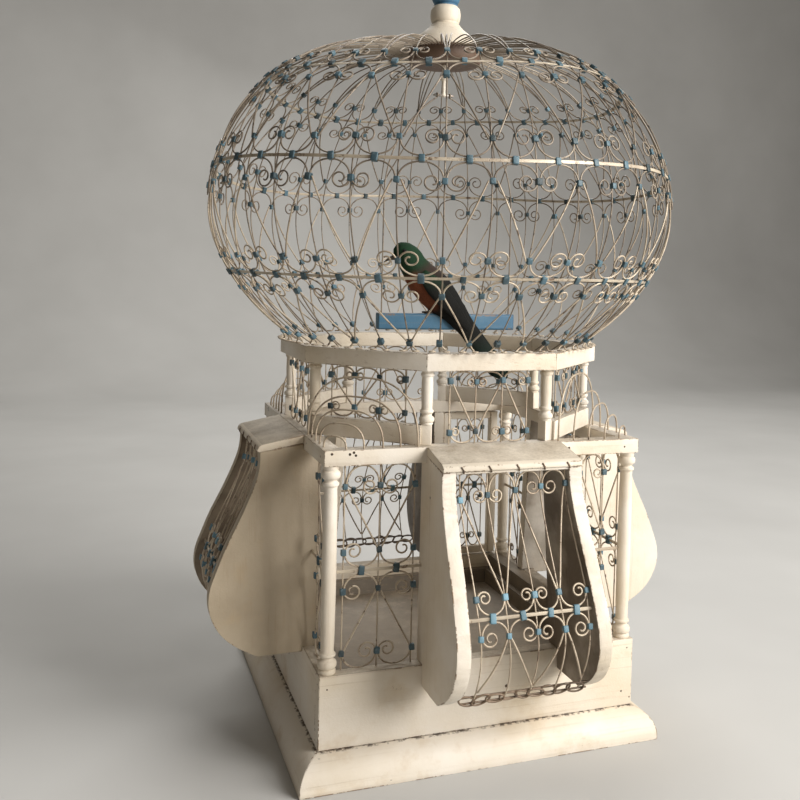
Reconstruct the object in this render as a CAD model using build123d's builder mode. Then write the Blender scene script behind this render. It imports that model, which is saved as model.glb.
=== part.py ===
from build123d import *
import os
from math import cos, degrees, hypot, radians, sin, sqrt

# Hand-made wood and wire bird cage on its own plinth, millimetres.
# Origin: centre of the underside of the skirt. The front faces -Y, +Z is up.

# wooden base
PLINTH_HALF = 145.0
BOARD = 12.0
SKIRT_HALF = 163.0
SKIRT_H = 27.0
PLINTH_TOP = 88.0
BASE_FLOOR_Z = 48.0
BASE_FLOOR_T = 6.0

# tray that slides out through the back board
TRAY_HALF_W = 118.0
TRAY_H = 19.0
TRAY_GAP = 0.5
TRAY_WALL = 6.0
TRAY_BOTTOM = 3.0
TRAY_LIFT = 0.3

# square body
POST_POS = 137.0
POST_R = 6.0
FRAME_HALF = 144.5
FRAME_W = 15.0
FRAME_Z = 258.0
FRAME_TOP = 271.0
PANEL_Y = 137.0

# eight-sided drum
DRUM_APOTHEM = 144.0
DRUM_W = 15.0
SILL_TOP = 288.0
RING_Z = 333.5
RING_TOP = 348.5
COLUMN_R = 5.0
COLUMN_AT = 144.5

# bays, measured in the front bay: x sideways, d outward from the axis
CHEEK_T = 12.0
CHEEK_LEFT = -46.0
CHEEK_RIGHT = 54.0
CHEEK_LEAN = 14.0
CHEEK_BACK = 131.0
CHEEK_FOOT_Z = 74.0
CHEEK_TOP_Z = 262.0
ROOF_BACK_Z = 271.0
ROOF_D = 185.0
ROOF_UNDER_BACK = 263.5
ROOF_UNDER_FRONT = 257.0
FASCIA_Z = 255.0
FASCIA_D = 171.0
# the front bay hangs lower than the other three
BAY_FOOT = {"front": 70.0, "right": 84.0, "back": 84.0, "left": 84.0}
BAY_BAR = {"front": 148.0, "right": 153.0, "back": 153.0, "left": 153.0}
GRILLE_INSET = 5.0
GRILLE_COLUMNS = [0.055, 0.29, 0.525, 0.76, 0.965]

# wire stock
WIRE_R = 0.8
THIN_R = 0.7
FLAT_H = 2.6
FLAT_T = 1.6

# dome: upper and lower halves are superellipses that share one equator
DOME_R = 222.0
DOME_EQUATOR = 474.7
DOME_UP = 159.8
DOME_DOWN = 178.5
RING_LEVELS = [411.5, 505.0, 588.0]
MERIDIANS = 38
DOME_FOOT_Z = 352.0
CROWN_R = 35.0
CROWN_Z = 619.5
CROWN_TOP = 634.0

# clamps that bind the wires to the rings
CLAMP_W = 5.2
CLAMP_H = 6.4
CLAMP_D = 4.6

# swing
HOOK_Z = 590.0
PERCH_Z = 368.0
PERCH_H = 16.0
PERCH_D = 12.0
PERCH_X0 = -62.0
PERCH_X1 = 80.0

# door in the back left panel and its turn button
PIN_R = 1.5
PIN_FIT = 0.05
DOOR_PIN_X = -122.0
DOOR_D = 139.5
STILE = 9.0
DOOR_FREE_X = -59.5
DOOR_Z0 = 90.0
DOOR_Z1 = 256.0
BUTTON_X = -72.0
BUTTON_Z = 264.5

os.makedirs("parts", exist_ok=True)


def save(builder, name):
    builder.part.label = name
    export_step(builder.part, f"parts/{name}.step")


def dome_radius(z):
    if z >= DOME_EQUATOR:
        t = 1 - ((z - DOME_EQUATOR) / DOME_UP) ** 1.8
        return DOME_R * t ** (1 / 3.0)
    t = 1 - ((DOME_EQUATOR - z) / DOME_DOWN) ** 1.85
    return DOME_R * t ** (1 / 1.6)


def wedge(height):
    """Quarter of the plan that belongs to the front side, as a tall prism."""
    with BuildPart(mode=Mode.PRIVATE) as quarter:
        with BuildSketch():
            with BuildLine():
                Polyline((0, 0), (-300, -300), (300, -300), close=True)
            make_face()
        extrude(amount=height)
    return quarter.part


def wire(points, radius):
    """Round wire: straight between two points, a single arc through three."""
    with BuildPart(mode=Mode.PRIVATE) as rod:
        with BuildLine() as path:
            if len(points) == 3:
                ThreePointArc(*points)
            else:
                Line(*points)
        with BuildSketch(Plane(path.line @ 0, z_dir=path.line % 0)):
            Circle(radius)
        sweep()
    return rod.part


def hooked_wire(start, end, bow, radius):
    """Round wire that leaves start on an arc and runs straight on to end."""
    with BuildPart(mode=Mode.PRIVATE) as rod:
        with BuildLine() as path:
            straight = Line(end, bow)
            TangentArc(bow, start, tangent=straight % 1)
        with BuildSketch(Plane(end, z_dir=path.wire() % 0)):
            Circle(radius)
        sweep()
    return rod.part


def turned(profile):
    """Solid of revolution about Z from (radius, height) pairs."""
    with BuildPart(mode=Mode.PRIVATE) as lathe:
        with BuildSketch(Plane.XZ):
            with BuildLine():
                low = profile[0]
                high = profile[-1]
                Polyline((0, low[1]), *profile, (0, high[1]), close=True)
            make_face()
        revolve(axis=Axis.Z)
    return lathe.part


def bead(radius, z0, z1, neck):
    """Rounded bead between two heights, standing proud of its neck."""
    steps = 6
    points = []
    for i in range(steps + 1):
        t = i / steps
        r = neck + (radius - neck) * sqrt(max(0.0, 1 - (2 * t - 1) ** 2))
        points.append((r, z0 + (z1 - z0) * t))
    return points


SIDES = ["front", "right", "back", "left"]

# ---------------------------------------------------------------- skirt
with BuildPart() as skirt_board:
    with BuildSketch(Plane.YZ):
        with BuildLine():
            Line((-PLINTH_HALF + BOARD, 0), (-SKIRT_HALF, 0))
            Line((-SKIRT_HALF, 0), (-SKIRT_HALF, 4))
            ThreePointArc((-SKIRT_HALF, 4), (-158, 18.5), (-PLINTH_HALF - 1, SKIRT_H))
            Line((-PLINTH_HALF - 1, SKIRT_H), (-PLINTH_HALF + BOARD, SKIRT_H))
            Line((-PLINTH_HALF + BOARD, SKIRT_H), (-PLINTH_HALF + BOARD, 0))
        make_face()
    extrude(amount=SKIRT_HALF, both=True)
    add(wedge(SKIRT_H), mode=Mode.INTERSECT)

for number, side in enumerate(SIDES):
    with BuildPart() as skirt:
        add(skirt_board.part.rotate(Axis.Z, 90 * number))
    save(skirt, f"skirt_{side}")

# ---------------------------------------------------------------- plinth box
PLINTH_MID = (SKIRT_H + PLINTH_TOP) / 2
for sign, side in [(-1, "front"), (1, "back")]:
    with BuildPart() as plinth:
        with Locations((0, sign * (PLINTH_HALF - BOARD / 2), PLINTH_MID)):
            Box(2 * PLINTH_HALF, BOARD, PLINTH_TOP - SKIRT_H)
        if side == "back":
            slot_z = BASE_FLOOR_Z + BASE_FLOOR_T + (TRAY_H + 2 * TRAY_LIFT) / 2
            with Locations((0, PLINTH_HALF - BOARD / 2, slot_z)):
                Box(2 * (TRAY_HALF_W + TRAY_GAP), BOARD, TRAY_H + 2 * TRAY_LIFT, mode=Mode.SUBTRACT)
            with Locations((-DOOR_PIN_X, DOOR_D, PLINTH_TOP - 4)):
                Cylinder(PIN_R, 8, mode=Mode.SUBTRACT)
    save(plinth, f"plinth_{side}")

for sign, side in [(1, "right"), (-1, "left")]:
    with BuildPart() as plinth:
        with Locations((sign * (PLINTH_HALF - BOARD / 2), 0, PLINTH_MID)):
            Box(BOARD, 2 * (PLINTH_HALF - BOARD), PLINTH_TOP - SKIRT_H)
    save(plinth, f"plinth_{side}")

INNER = PLINTH_HALF - BOARD
with BuildPart() as base_floor:
    with Locations((0, 0, BASE_FLOOR_Z + BASE_FLOOR_T / 2)):
        Box(2 * INNER, 2 * INNER, BASE_FLOOR_T)
save(base_floor, "base_floor")

GUIDE_W = INNER - TRAY_HALF_W - TRAY_GAP
GUIDE_H = PLINTH_TOP - BASE_FLOOR_Z - BASE_FLOOR_T
with BuildPart() as tray_guides:
    with Locations(
        (INNER - GUIDE_W / 2, 0, PLINTH_TOP - GUIDE_H / 2),
        (-INNER + GUIDE_W / 2, 0, PLINTH_TOP - GUIDE_H / 2),
    ):
        Box(GUIDE_W, 2 * INNER, GUIDE_H)
save(tray_guides, "tray_guides")

# ---------------------------------------------------------------- sliding tray
TRAY_Z = BASE_FLOOR_Z + BASE_FLOOR_T + TRAY_LIFT
TRAY_Y0 = -INNER + 1.5
with BuildPart() as tray:
    with Locations((0, (TRAY_Y0 + INNER) / 2, TRAY_Z + TRAY_H / 2)):
        Box(2 * TRAY_HALF_W, INNER - TRAY_Y0, TRAY_H)
    with Locations((0, (TRAY_Y0 + INNER) / 2, TRAY_Z + TRAY_BOTTOM + TRAY_H / 2)):
        Box(
            2 * (TRAY_HALF_W - TRAY_WALL),
            INNER - TRAY_Y0 - 2 * TRAY_WALL,
            TRAY_H,
            mode=Mode.SUBTRACT,
        )
save(tray, "tray")

with BuildPart() as tray_face:
    with Locations((0, PLINTH_HALF - BOARD / 2, TRAY_Z + TRAY_H / 2)):
        Box(2 * TRAY_HALF_W, BOARD, TRAY_H)
save(tray_face, "tray_face")

KNOB = [(4.5, 0), (4.5, 4), (3.6, 6)] + bead(9.0, 7, 18, 3.6)
with BuildPart() as tray_knob:
    with Locations(Location((0, PLINTH_HALF, TRAY_Z + TRAY_H / 2), (-90, 0, 0))):
        add(turned(KNOB))
save(tray_knob, "tray_knob")

# ---------------------------------------------------------------- corner posts
Z0, Z1 = PLINTH_TOP, FRAME_Z
POST = (
    [(7.2, Z0), (7.2, Z0 + 3)]
    + bead(7.8, Z0 + 4, Z0 + 11, 6.0)
    + [(5.2, Z0 + 12.5)]
    + bead(6.9, Z0 + 13.5, Z0 + 17, 5.6)
    + [(5.4, Z0 + 20), (POST_R, Z0 + 60), (POST_R, Z1 - 60), (5.4, Z1 - 20)]
    + bead(6.9, Z1 - 17, Z1 - 13.5, 5.6)
    + [(5.2, Z1 - 12.5)]
    + bead(7.8, Z1 - 11, Z1 - 5, 6.0)
    + [(6.6, Z1 - 3), (6.6, Z1)]
)
with BuildPart() as corner_posts:
    with GridLocations(2 * POST_POS, 2 * POST_POS, 2, 2):
        add(turned(POST))
save(corner_posts, "corner_posts")

# ---------------------------------------------------------------- square frame
with BuildPart() as frame_rail:
    with Locations((0, -FRAME_HALF + FRAME_W / 2, (FRAME_Z + FRAME_TOP) / 2)):
        Box(2 * FRAME_HALF, FRAME_W, FRAME_TOP - FRAME_Z)
    add(wedge(FRAME_TOP), mode=Mode.INTERSECT)

for number, side in enumerate(SIDES):
    with BuildPart() as frame:
        add(frame_rail.part.rotate(Axis.Z, 90 * number))
        if side == "back":
            with Locations((-DOOR_PIN_X, DOOR_D, FRAME_Z + 3)):
                Cylinder(PIN_R, 6, mode=Mode.SUBTRACT)
            with Locations(Location((-BUTTON_X, FRAME_HALF - 3, BUTTON_Z), (90, 0, 0))):
                Cylinder(PIN_R, 6, mode=Mode.SUBTRACT)
    save(frame, f"frame_{side}")

# ---------------------------------------------------------------- bays
CHEEK_FRONT = [
    (183.0, CHEEK_TOP_Z), (184.5, 236), (191, 217), (200, 196), (210, 175), (219, 152),
    (224.5, 134), (225, 122), (221, 107), (212, 93), (200, 83), (184, CHEEK_FOOT_Z),
]


def front_edge(foot):
    """Front edge of a cheek, stretched so that it ends at its foot height."""
    stretch = (CHEEK_TOP_Z - foot) / (CHEEK_TOP_Z - CHEEK_FOOT_Z)
    edge = [(d, CHEEK_TOP_Z - (CHEEK_TOP_Z - z) * stretch) for d, z in CHEEK_FRONT]
    return [(edge[0][0], ROOF_UNDER_FRONT)] + edge[1:]


def bay_depth(z, foot):
    """Outward distance of the cheeks' front edge at a height."""
    edge = front_edge(foot)
    for (d1, z1), (d0, z0) in zip(edge, edge[1:]):
        if z0 <= z <= z1:
            return d0 + (d1 - d0) * (z - z0) / (z1 - z0)
    return edge[0][0]


def cheek_x(lean, x_top, z):
    return x_top + lean * (CHEEK_TOP_Z - z) / (CHEEK_TOP_Z - CHEEK_FOOT_Z)


def cheek(x_top, lean, foot):
    """Sawn board with an S front edge; it leans sideways towards its foot."""
    slope = lean / (CHEEK_TOP_Z - CHEEK_FOOT_Z)
    length = hypot(1, slope)
    board_plane = Plane(
        origin=(x_top + slope * CHEEK_TOP_Z, 0, 0),
        x_dir=(0, -1, 0),
        z_dir=(-1, 0, -slope),
    )
    front = [(d, z * length) for d, z in front_edge(foot)]
    back = [(PLINTH_HALF, foot), (PLINTH_HALF, PLINTH_TOP), (CHEEK_BACK, PLINTH_TOP)]
    back += [(CHEEK_BACK, FRAME_Z), (FRAME_HALF, FRAME_Z), (FRAME_HALF, ROOF_UNDER_BACK)]
    back = [(d, z * length) for d, z in back]
    with BuildPart(mode=Mode.PRIVATE) as board:
        with BuildSketch(board_plane):
            with BuildLine():
                Spline(*front)
                Polyline(front[-1], *back, front[0])
            make_face()
        extrude(amount=CHEEK_T, dir=(1, 0, 0))
    return board.part


def at_column(u, z, foot):
    """Point of the bay grille: u runs from the left cheek to the right one."""
    left = CHEEK_LEFT
    right = cheek_x(CHEEK_LEAN, CHEEK_RIGHT, z)
    return (left + u * (right - left), -(bay_depth(z, foot) - GRILLE_INSET), z)


ROOF_X0 = CHEEK_LEFT - CHEEK_T
ROOF_X1 = CHEEK_RIGHT + CHEEK_T
with BuildPart() as bay_roof:
    with BuildSketch(Plane.YZ.offset(ROOF_X0)):
        with BuildLine():
            Polyline(
                (-FRAME_HALF, ROOF_BACK_Z),
                (-ROOF_D + 4, 263.6),
                (-ROOF_D + 1, 261.8),
                (-ROOF_D, 259.5),
                (-ROOF_D, ROOF_UNDER_FRONT + 0.5),
                (-183, ROOF_UNDER_FRONT),
                (-FRAME_HALF, ROOF_UNDER_BACK),
                close=True,
            )
        make_face()
    extrude(amount=ROOF_X1 - ROOF_X0)

FASCIA_RISE = (ROOF_UNDER_BACK - ROOF_UNDER_FRONT) * (183 - FASCIA_D) / (183 - FRAME_HALF)
with BuildPart() as bay_fascia:
    with BuildSketch(Plane.YZ.offset(CHEEK_LEFT)):
        with BuildLine():
            Polyline(
                (-FASCIA_D, FASCIA_Z),
                (-183, FASCIA_Z),
                (-183, ROOF_UNDER_FRONT),
                (-FASCIA_D, ROOF_UNDER_FRONT + FASCIA_RISE),
                close=True,
            )
        make_face()
    extrude(amount=CHEEK_RIGHT - CHEEK_LEFT)

for number, side in enumerate(SIDES):
    foot = BAY_FOOT[side]
    bar_z = BAY_BAR[side]
    with BuildPart() as cheeks:
        add(cheek(CHEEK_LEFT - CHEEK_T, 0, foot).rotate(Axis.Z, 90 * number))
        add(cheek(CHEEK_RIGHT, CHEEK_LEAN, foot).rotate(Axis.Z, 90 * number))
    save(cheeks, f"bay_cheeks_{side}")
    with BuildPart() as wires:
        for u in GRILLE_COLUMNS:
            upper = [at_column(u, z, foot) for z in (FASCIA_Z - 0.4, 202, bar_z + 3)]
            lower = [at_column(u, z, foot) for z in (bar_z - 3, bar_z - 30, foot + 12)]
            add(wire(upper, WIRE_R).rotate(Axis.Z, 90 * number))
            add(wire(lower, WIRE_R).rotate(Axis.Z, 90 * number))
    save(wires, f"bay_wires_{side}")

with BuildPart() as bay_roofs:
    for number in range(4):
        add(bay_roof.part.rotate(Axis.Z, 90 * number))
save(bay_roofs, "bay_roofs")

with BuildPart() as bay_fascias:
    for number in range(4):
        add(bay_fascia.part.rotate(Axis.Z, 90 * number))
save(bay_fascias, "bay_fascias")

with BuildPart() as bay_bars:
    for number, side in enumerate(SIDES):
        bar_left = at_column(0, BAY_BAR[side], BAY_FOOT[side])
        bar_right = at_column(1, BAY_BAR[side], BAY_FOOT[side])
        bar_x = (bar_left[0] + bar_right[0]) / 2
        with Locations(Rotation(0, 0, 90 * number) * Location((bar_x, bar_left[1], bar_left[2]))):
            Box(bar_right[0] - bar_left[0] - 0.6, FLAT_T, FLAT_H)
save(bay_bars, "bay_bars")

# ---------------------------------------------------------------- flat side panels
PANEL_X = POST_POS - POST_R
LEFT_COLUMNS = [-125.0, -95.0, -65.0]
RIGHT_COLUMNS = [90.0, 112.0]
PANEL_BAR_Z = 170.0
HALF_BAR = FLAT_H / 2 + 0.5

with BuildPart() as left_panel_wires:
    for x in LEFT_COLUMNS:
        for z0, z1 in [(PLINTH_TOP, PANEL_BAR_Z - HALF_BAR), (PANEL_BAR_Z + HALF_BAR, FRAME_Z)]:
            add(wire([(x, -PANEL_Y, z0), (x, -PANEL_Y, z1)], WIRE_R))

with BuildPart() as right_panel_wires:
    for x in RIGHT_COLUMNS:
        for z0, z1 in [(PLINTH_TOP, PANEL_BAR_Z - HALF_BAR), (PANEL_BAR_Z + HALF_BAR, FRAME_Z)]:
            add(wire([(x, -PANEL_Y, z0), (x, -PANEL_Y, z1)], WIRE_R))

with BuildPart() as panel_wires:
    for number in range(4):
        if SIDES[number] != "back":
            add(left_panel_wires.part.rotate(Axis.Z, 90 * number))
        add(right_panel_wires.part.rotate(Axis.Z, 90 * number))
save(panel_wires, "panel_wires")


def flat_bar(x0, x1, y, z):
    with BuildPart(mode=Mode.PRIVATE) as strip:
        with Locations(((x0 + x1) / 2, y, z)):
            Box(x1 - x0, FLAT_T, FLAT_H)
    return strip.part


RIGHT_CHEEK_OUT = cheek_x(CHEEK_LEAN, CHEEK_RIGHT, PANEL_BAR_Z) + CHEEK_T
LEFT_CHEEK_OUT = CHEEK_LEFT - CHEEK_T
with BuildPart() as panel_bars:
    for number in range(4):
        if SIDES[number] != "back":
            left_bar = flat_bar(-PANEL_X + 0.3, LEFT_CHEEK_OUT, -PANEL_Y, PANEL_BAR_Z)
            add(left_bar.rotate(Axis.Z, 90 * number))
        right_bar = flat_bar(RIGHT_CHEEK_OUT + 0.3, PANEL_X - 0.3, -PANEL_Y, PANEL_BAR_Z)
        add(right_bar.rotate(Axis.Z, 90 * number))
save(panel_bars, "panel_bars")

# ---------------------------------------------------------------- drum
FOOT = 9.0


def sill_end(depth):
    """Half length of a sill at a depth, where it meets the block under a column."""
    turn = radians(22.5)
    across = FOOT / 2 + sin(turn) * (depth + COLUMN_AT * cos(turn))
    return COLUMN_AT * sin(turn) - across / cos(turn)


SILL_OUT = -DRUM_APOTHEM + 2.5
SILL_IN = -DRUM_APOTHEM + 11.5
with BuildPart() as sill:
    with BuildSketch(Plane.XY.offset(FRAME_TOP)):
        with BuildLine():
            Polyline(
                (-sill_end(SILL_OUT), SILL_OUT),
                (sill_end(SILL_OUT), SILL_OUT),
                (sill_end(SILL_IN), SILL_IN),
                (-sill_end(SILL_IN), SILL_IN),
                close=True,
            )
        make_face()
    extrude(amount=SILL_TOP - FRAME_TOP)

# only the four slanting sides need a sill: the others stand on the frame
with BuildPart() as drum_sills:
    for number in range(4):
        add(sill.part.rotate(Axis.Z, 45 + 90 * number))
save(drum_sills, "drum_sills")

F0 = FRAME_TOP
COLUMN = (
    [(5.6, SILL_TOP + 0.5)]
    + bead(6.6, SILL_TOP + 2, SILL_TOP + 7, 5.0)
    + [(4.4, SILL_TOP + 8.5)]
    + bead(5.8, SILL_TOP + 9.5, SILL_TOP + 13, 4.6)
    + [(4.6, SILL_TOP + 16), (COLUMN_R, SILL_TOP + 30), (4.8, RING_Z - 6)]
    + bead(5.8, RING_Z - 5, RING_Z - 1.5, 4.8)
    + [(5.4, RING_Z)]
)
with BuildPart() as drum_columns:
    for number in range(8):
        corner = Rotation(0, 0, 22.5 + 45 * number) * Location((0, -COLUMN_AT, 0))
        with Locations(corner):
            add(turned(COLUMN))
            with Locations((0, 0, (F0 + SILL_TOP + 0.5) / 2)):
                Box(FOOT, FOOT, SILL_TOP + 0.5 - F0)
save(drum_columns, "drum_columns")

with BuildPart() as ring_rail:
    with BuildSketch(Plane.XY.offset(RING_Z)):
        outer = DRUM_APOTHEM
        inner = DRUM_APOTHEM - DRUM_W
        slope = 0.41421356
        with BuildLine():
            Polyline(
                (-outer * slope, -outer),
                (outer * slope, -outer),
                (inner * slope, -inner),
                (-inner * slope, -inner),
                close=True,
            )
        make_face()
    extrude(amount=RING_TOP - RING_Z)

for first, name in [(0, "drum_ring_square"), (45, "drum_ring_diagonal")]:
    with BuildPart() as drum_ring:
        for number in range(4):
            add(ring_rail.part.rotate(Axis.Z, first + 90 * number))
    save(drum_ring, name)

DRUM_WIRE_Y = DRUM_APOTHEM - 7
with BuildPart() as drum_wires:
    for number in range(8):
        foot_z = FRAME_TOP if number % 2 == 0 else SILL_TOP
        for x in (-36, -12, 12, 36):
            rod = wire([(x, -DRUM_WIRE_Y, foot_z), (x, -DRUM_WIRE_Y, RING_Z)], WIRE_R)
            add(rod.rotate(Axis.Z, 45 * number))
save(drum_wires, "drum_wires")

# ---------------------------------------------------------------- corner hoops
HOOP_FEET = [65.0, 80.0, 95.0, 111.0, 126.0]
HOOP_Y = 141.0
with BuildPart() as corner_hoops:
    for foot in HOOP_FEET:
        mid = -(foot + HOOP_Y) / 2
        rise = (HOOP_Y - foot) / sqrt(2)
        hoop = wire([(-foot, -HOOP_Y, F0), (mid, mid, F0 + rise), (-HOOP_Y, -foot, F0)], WIRE_R)
        for number in range(4):
            add(hoop.rotate(Axis.Z, 90 * number))
save(corner_hoops, "corner_hoops")

# ---------------------------------------------------------------- dome
STEP = 360.0 / MERIDIANS
with BuildPart() as dome_rings:
    for level in RING_LEVELS:
        radius = dome_radius(level)
        trim = degrees((CLAMP_W / 2) / radius)
        begin = -90 + STEP / 2 + trim
        with BuildPart(mode=Mode.PRIVATE) as strip:
            with BuildSketch(Plane.XY.offset(level - FLAT_H / 2)):
                with BuildLine():
                    near = CenterArc((0, 0), radius - FLAT_T / 2, begin, STEP - 2 * trim)
                    far = CenterArc((0, 0), radius + FLAT_T / 2, begin, STEP - 2 * trim)
                    Line(near @ 0, far @ 0)
                    Line(near @ 1, far @ 1)
                make_face()
            extrude(amount=FLAT_H)
        for number in range(MERIDIANS):
            add(strip.part.rotate(Axis.Z, STEP * number))
save(dome_rings, "dome_rings")

with BuildPart() as ring_clamps:
    for level in RING_LEVELS:
        radius = dome_radius(level)
        for number in range(MERIDIANS):
            turn = Rotation(0, 0, STEP * (number + 0.5))
            with Locations(turn * Location((0, -radius, level))):
                Box(CLAMP_W - 0.2, CLAMP_D, CLAMP_H)
save(ring_clamps, "ring_clamps")

LOW, MID, HIGH = RING_LEVELS
CLEAR = 3.5
TIERS = [
    ("dome_wires_low", [LOW + CLEAR, (LOW + MID) / 2, MID - CLEAR]),
    ("dome_wires_mid", [MID + CLEAR, (MID + HIGH) / 2, HIGH - CLEAR]),
]
ribs = {name: wire([(0, -dome_radius(z), z) for z in heights], THIN_R) for name, heights in TIERS}
foot_mid = (0, -dome_radius(378), 378)
foot_end = (0, -dome_radius(LOW - CLEAR), LOW - CLEAR)
ribs["dome_wires_foot"] = wire([(0, -139.5, RING_TOP + 1.0), foot_mid, foot_end], THIN_R)
top_start = (0, -dome_radius(HIGH + CLEAR), HIGH + CLEAR)
top_bow = (0, -75.0, CROWN_TOP - 4.5)
top_end = (0, -CROWN_R - 0.3, CROWN_TOP - 2.0)
ribs["dome_wires_top"] = hooked_wire(top_start, top_end, top_bow, THIN_R)
for name, rib in ribs.items():
    with BuildPart() as tier:
        for number in range(MERIDIANS):
            add(rib.rotate(Axis.Z, STEP * number))
    save(tier, name)

# ---------------------------------------------------------------- crown and finial
with BuildPart() as crown:
    rim = [(CROWN_R - 1, CROWN_Z), (CROWN_R, CROWN_Z + 1)]
    rim += [(CROWN_R, CROWN_TOP - 1), (CROWN_R - 1, CROWN_TOP)]
    add(turned(rim))
    with Locations((0, 0, CROWN_Z + 3)):
        Cylinder(2.0, 6, mode=Mode.SUBTRACT)
save(crown, "crown")

T0 = CROWN_TOP
with BuildPart() as finial_neck:
    flare = [(34.5, T0), (34, T0 + 4), (29, T0 + 10), (24, T0 + 14)]
    flare += [(19, T0 + 18), (15.5, T0 + 22), (14.3, T0 + 24)]
    add(turned(flare))
save(finial_neck, "finial_neck")

T1 = T0 + 24
with BuildPart() as finial_ball:
    add(turned([(13.0, T1), (13.4, T1 + 0.8)] + bead(14.8, T1 + 1.4, T1 + 17, 12.2) + [(11.8, T1 + 18)]))
save(finial_ball, "finial_ball")

T2 = T1 + 18
with BuildPart() as finial_bead:
    add(turned([(11.4, T2), (11.8, T2 + 1)] + bead(13.8, T2 + 1.5, T2 + 17, 8.6) + [(6.5, T2 + 18.5)]))
save(finial_bead, "finial_bead")

T3 = T2 + 18.5
with BuildPart() as finial_tip:
    add(turned([(5.5, T3), (6.8, T3 + 2), (7.0, T3 + 5), (5.0, T3 + 11), (2.4, T3 + 17), (0.6, T3 + 20)]))
save(finial_tip, "finial_tip")

# ---------------------------------------------------------------- swing
EYE_X = 6.5
with BuildPart() as crown_hook:
    collar = [(1.9, 604), (3.6, 605), (4.2, 608), (3.6, 611), (1.9, 612)]
    add(turned([(1.9, HOOK_Z)] + collar + [(1.9, CROWN_Z + 6)]))
    with Locations(Location((0, 0, HOOK_Z), (0, 90, 0))):
        Cylinder(1.2, 20)
    with Locations((0, 0, HOOK_Z)):
        Sphere(2.4)
save(crown_hook, "crown_hook")

SWING_BOW = 120.0
with BuildPart() as swing_wires:
    for sign, foot_x in [(-1, PERCH_X0 + 4), (1, PERCH_X1 - 4)]:
        reach = SWING_BOW + EYE_X - abs(foot_x)
        drop = sqrt(SWING_BOW**2 - reach**2)
        top = (sign * EYE_X, 0, HOOK_Z - 1.9)
        bow = (foot_x, 0, HOOK_Z - 1.9 - drop)
        foot = (foot_x, 0, PERCH_Z + PERCH_H / 2)
        add(hooked_wire(top, foot, bow, THIN_R))
        with Locations(Location((sign * EYE_X, 0, HOOK_Z), (0, 90, 0))):
            Cylinder(2.6, 3)
            Cylinder(1.2 + PIN_FIT, 3, mode=Mode.SUBTRACT)
save(swing_wires, "swing_wires")

with BuildPart() as perch:
    with Locations(((PERCH_X0 + PERCH_X1) / 2, 0, PERCH_Z)):
        Box(PERCH_X1 - PERCH_X0, PERCH_D, PERCH_H)
    chamfer(perch.edges().filter_by(Axis.X), 1.5)
save(perch, "perch")

# carved bird that sits on the perch; the tail is given as (centre, width, depth)
TAIL = [((18, -8.5, 375), 10, 19), ((44, -12, 342), 12, 17), ((66, -14, 313), 9, 11)]
with BuildPart() as bird:
    with Locations(Location((-12, -2, 404), (0, 45, 0))):
        Sphere(17)
    with BuildSketch(Plane(origin=(-30, 2, 428), z_dir=(0.42, -0.08, -0.9))):
        Circle(9)
    with BuildSketch(Plane(origin=(-16, 0, 410), z_dir=(0.55, -0.08, -0.83))):
        Circle(17)
    with BuildSketch(Plane(origin=(2, -3, 392), z_dir=(0.62, -0.1, -0.78))):
        Circle(17)
    with BuildSketch(Plane(origin=(20, -9, 373), z_dir=(0.65, -0.12, -0.75))):
        Circle(11)
    loft()
    with Locations((-32, 2, 432)):
        Sphere(14)
    for origin, width, depth in TAIL:
        with BuildSketch(Plane(origin=origin, x_dir=(0, 1, 0), z_dir=(0.61, -0.05, -0.79))):
            RectangleRounded(width, depth, 2)
    loft()
    with Locations(Location((-49, 2, 430), (0, -90, 0))):
        Cone(3.6, 0.6, 13)
    with Locations(((PERCH_X0 + PERCH_X1) / 2, 0, PERCH_Z)):
        Box(PERCH_X1 - PERCH_X0, PERCH_D, PERCH_H, mode=Mode.SUBTRACT)
save(bird, "bird")

# ---------------------------------------------------------------- door
STILE_X = [DOOR_PIN_X, DOOR_FREE_X - STILE / 2]
DOOR_MID = (DOOR_Z0 + DOOR_Z1) / 2
with BuildPart() as door_stiles:
    for x in STILE_X:
        with Locations((-x, DOOR_D, DOOR_MID)):
            Box(STILE, STILE, DOOR_Z1 - DOOR_Z0)
    chamfer(door_stiles.edges().filter_by(Axis.Z), 0.8)
    with Locations((-DOOR_PIN_X, DOOR_D, DOOR_MID)):
        Cylinder(PIN_R + PIN_FIT, DOOR_Z1 - DOOR_Z0, mode=Mode.SUBTRACT)
save(door_stiles, "door_stiles")

RAIL_X0 = DOOR_PIN_X + STILE / 2
RAIL_X1 = DOOR_FREE_X - STILE
RAIL_MID = -(RAIL_X0 + RAIL_X1) / 2
with BuildPart() as door_rails:
    with Locations((RAIL_MID, DOOR_D, DOOR_Z0 + 4), (RAIL_MID, DOOR_D, DOOR_Z1 - 4)):
        Box(RAIL_X1 - RAIL_X0, STILE - 2, 8)
    with Locations((RAIL_MID, DOOR_D, PANEL_BAR_Z)):
        Box(RAIL_X1 - RAIL_X0, FLAT_T, FLAT_H)
save(door_rails, "door_rails")

with BuildPart() as door_wires:
    for x in (-109.0, -93.0, -77.0):
        for z0, z1 in [(DOOR_Z0 + 8, PANEL_BAR_Z - HALF_BAR), (PANEL_BAR_Z + HALF_BAR, DOOR_Z1 - 8)]:
            add(wire([(-x, DOOR_D, z0), (-x, DOOR_D, z1)], WIRE_R))
save(door_wires, "door_wires")

DOOR_KNOB = [(2.6, 0), (2.2, 3)] + bead(4.5, 3.5, 10, 2.2)
with BuildPart() as door_knob:
    with Locations(Location((-STILE_X[1], DOOR_D + STILE / 2, 172), (-90, 0, 0))):
        add(turned(DOOR_KNOB))
save(door_knob, "door_knob")

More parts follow.
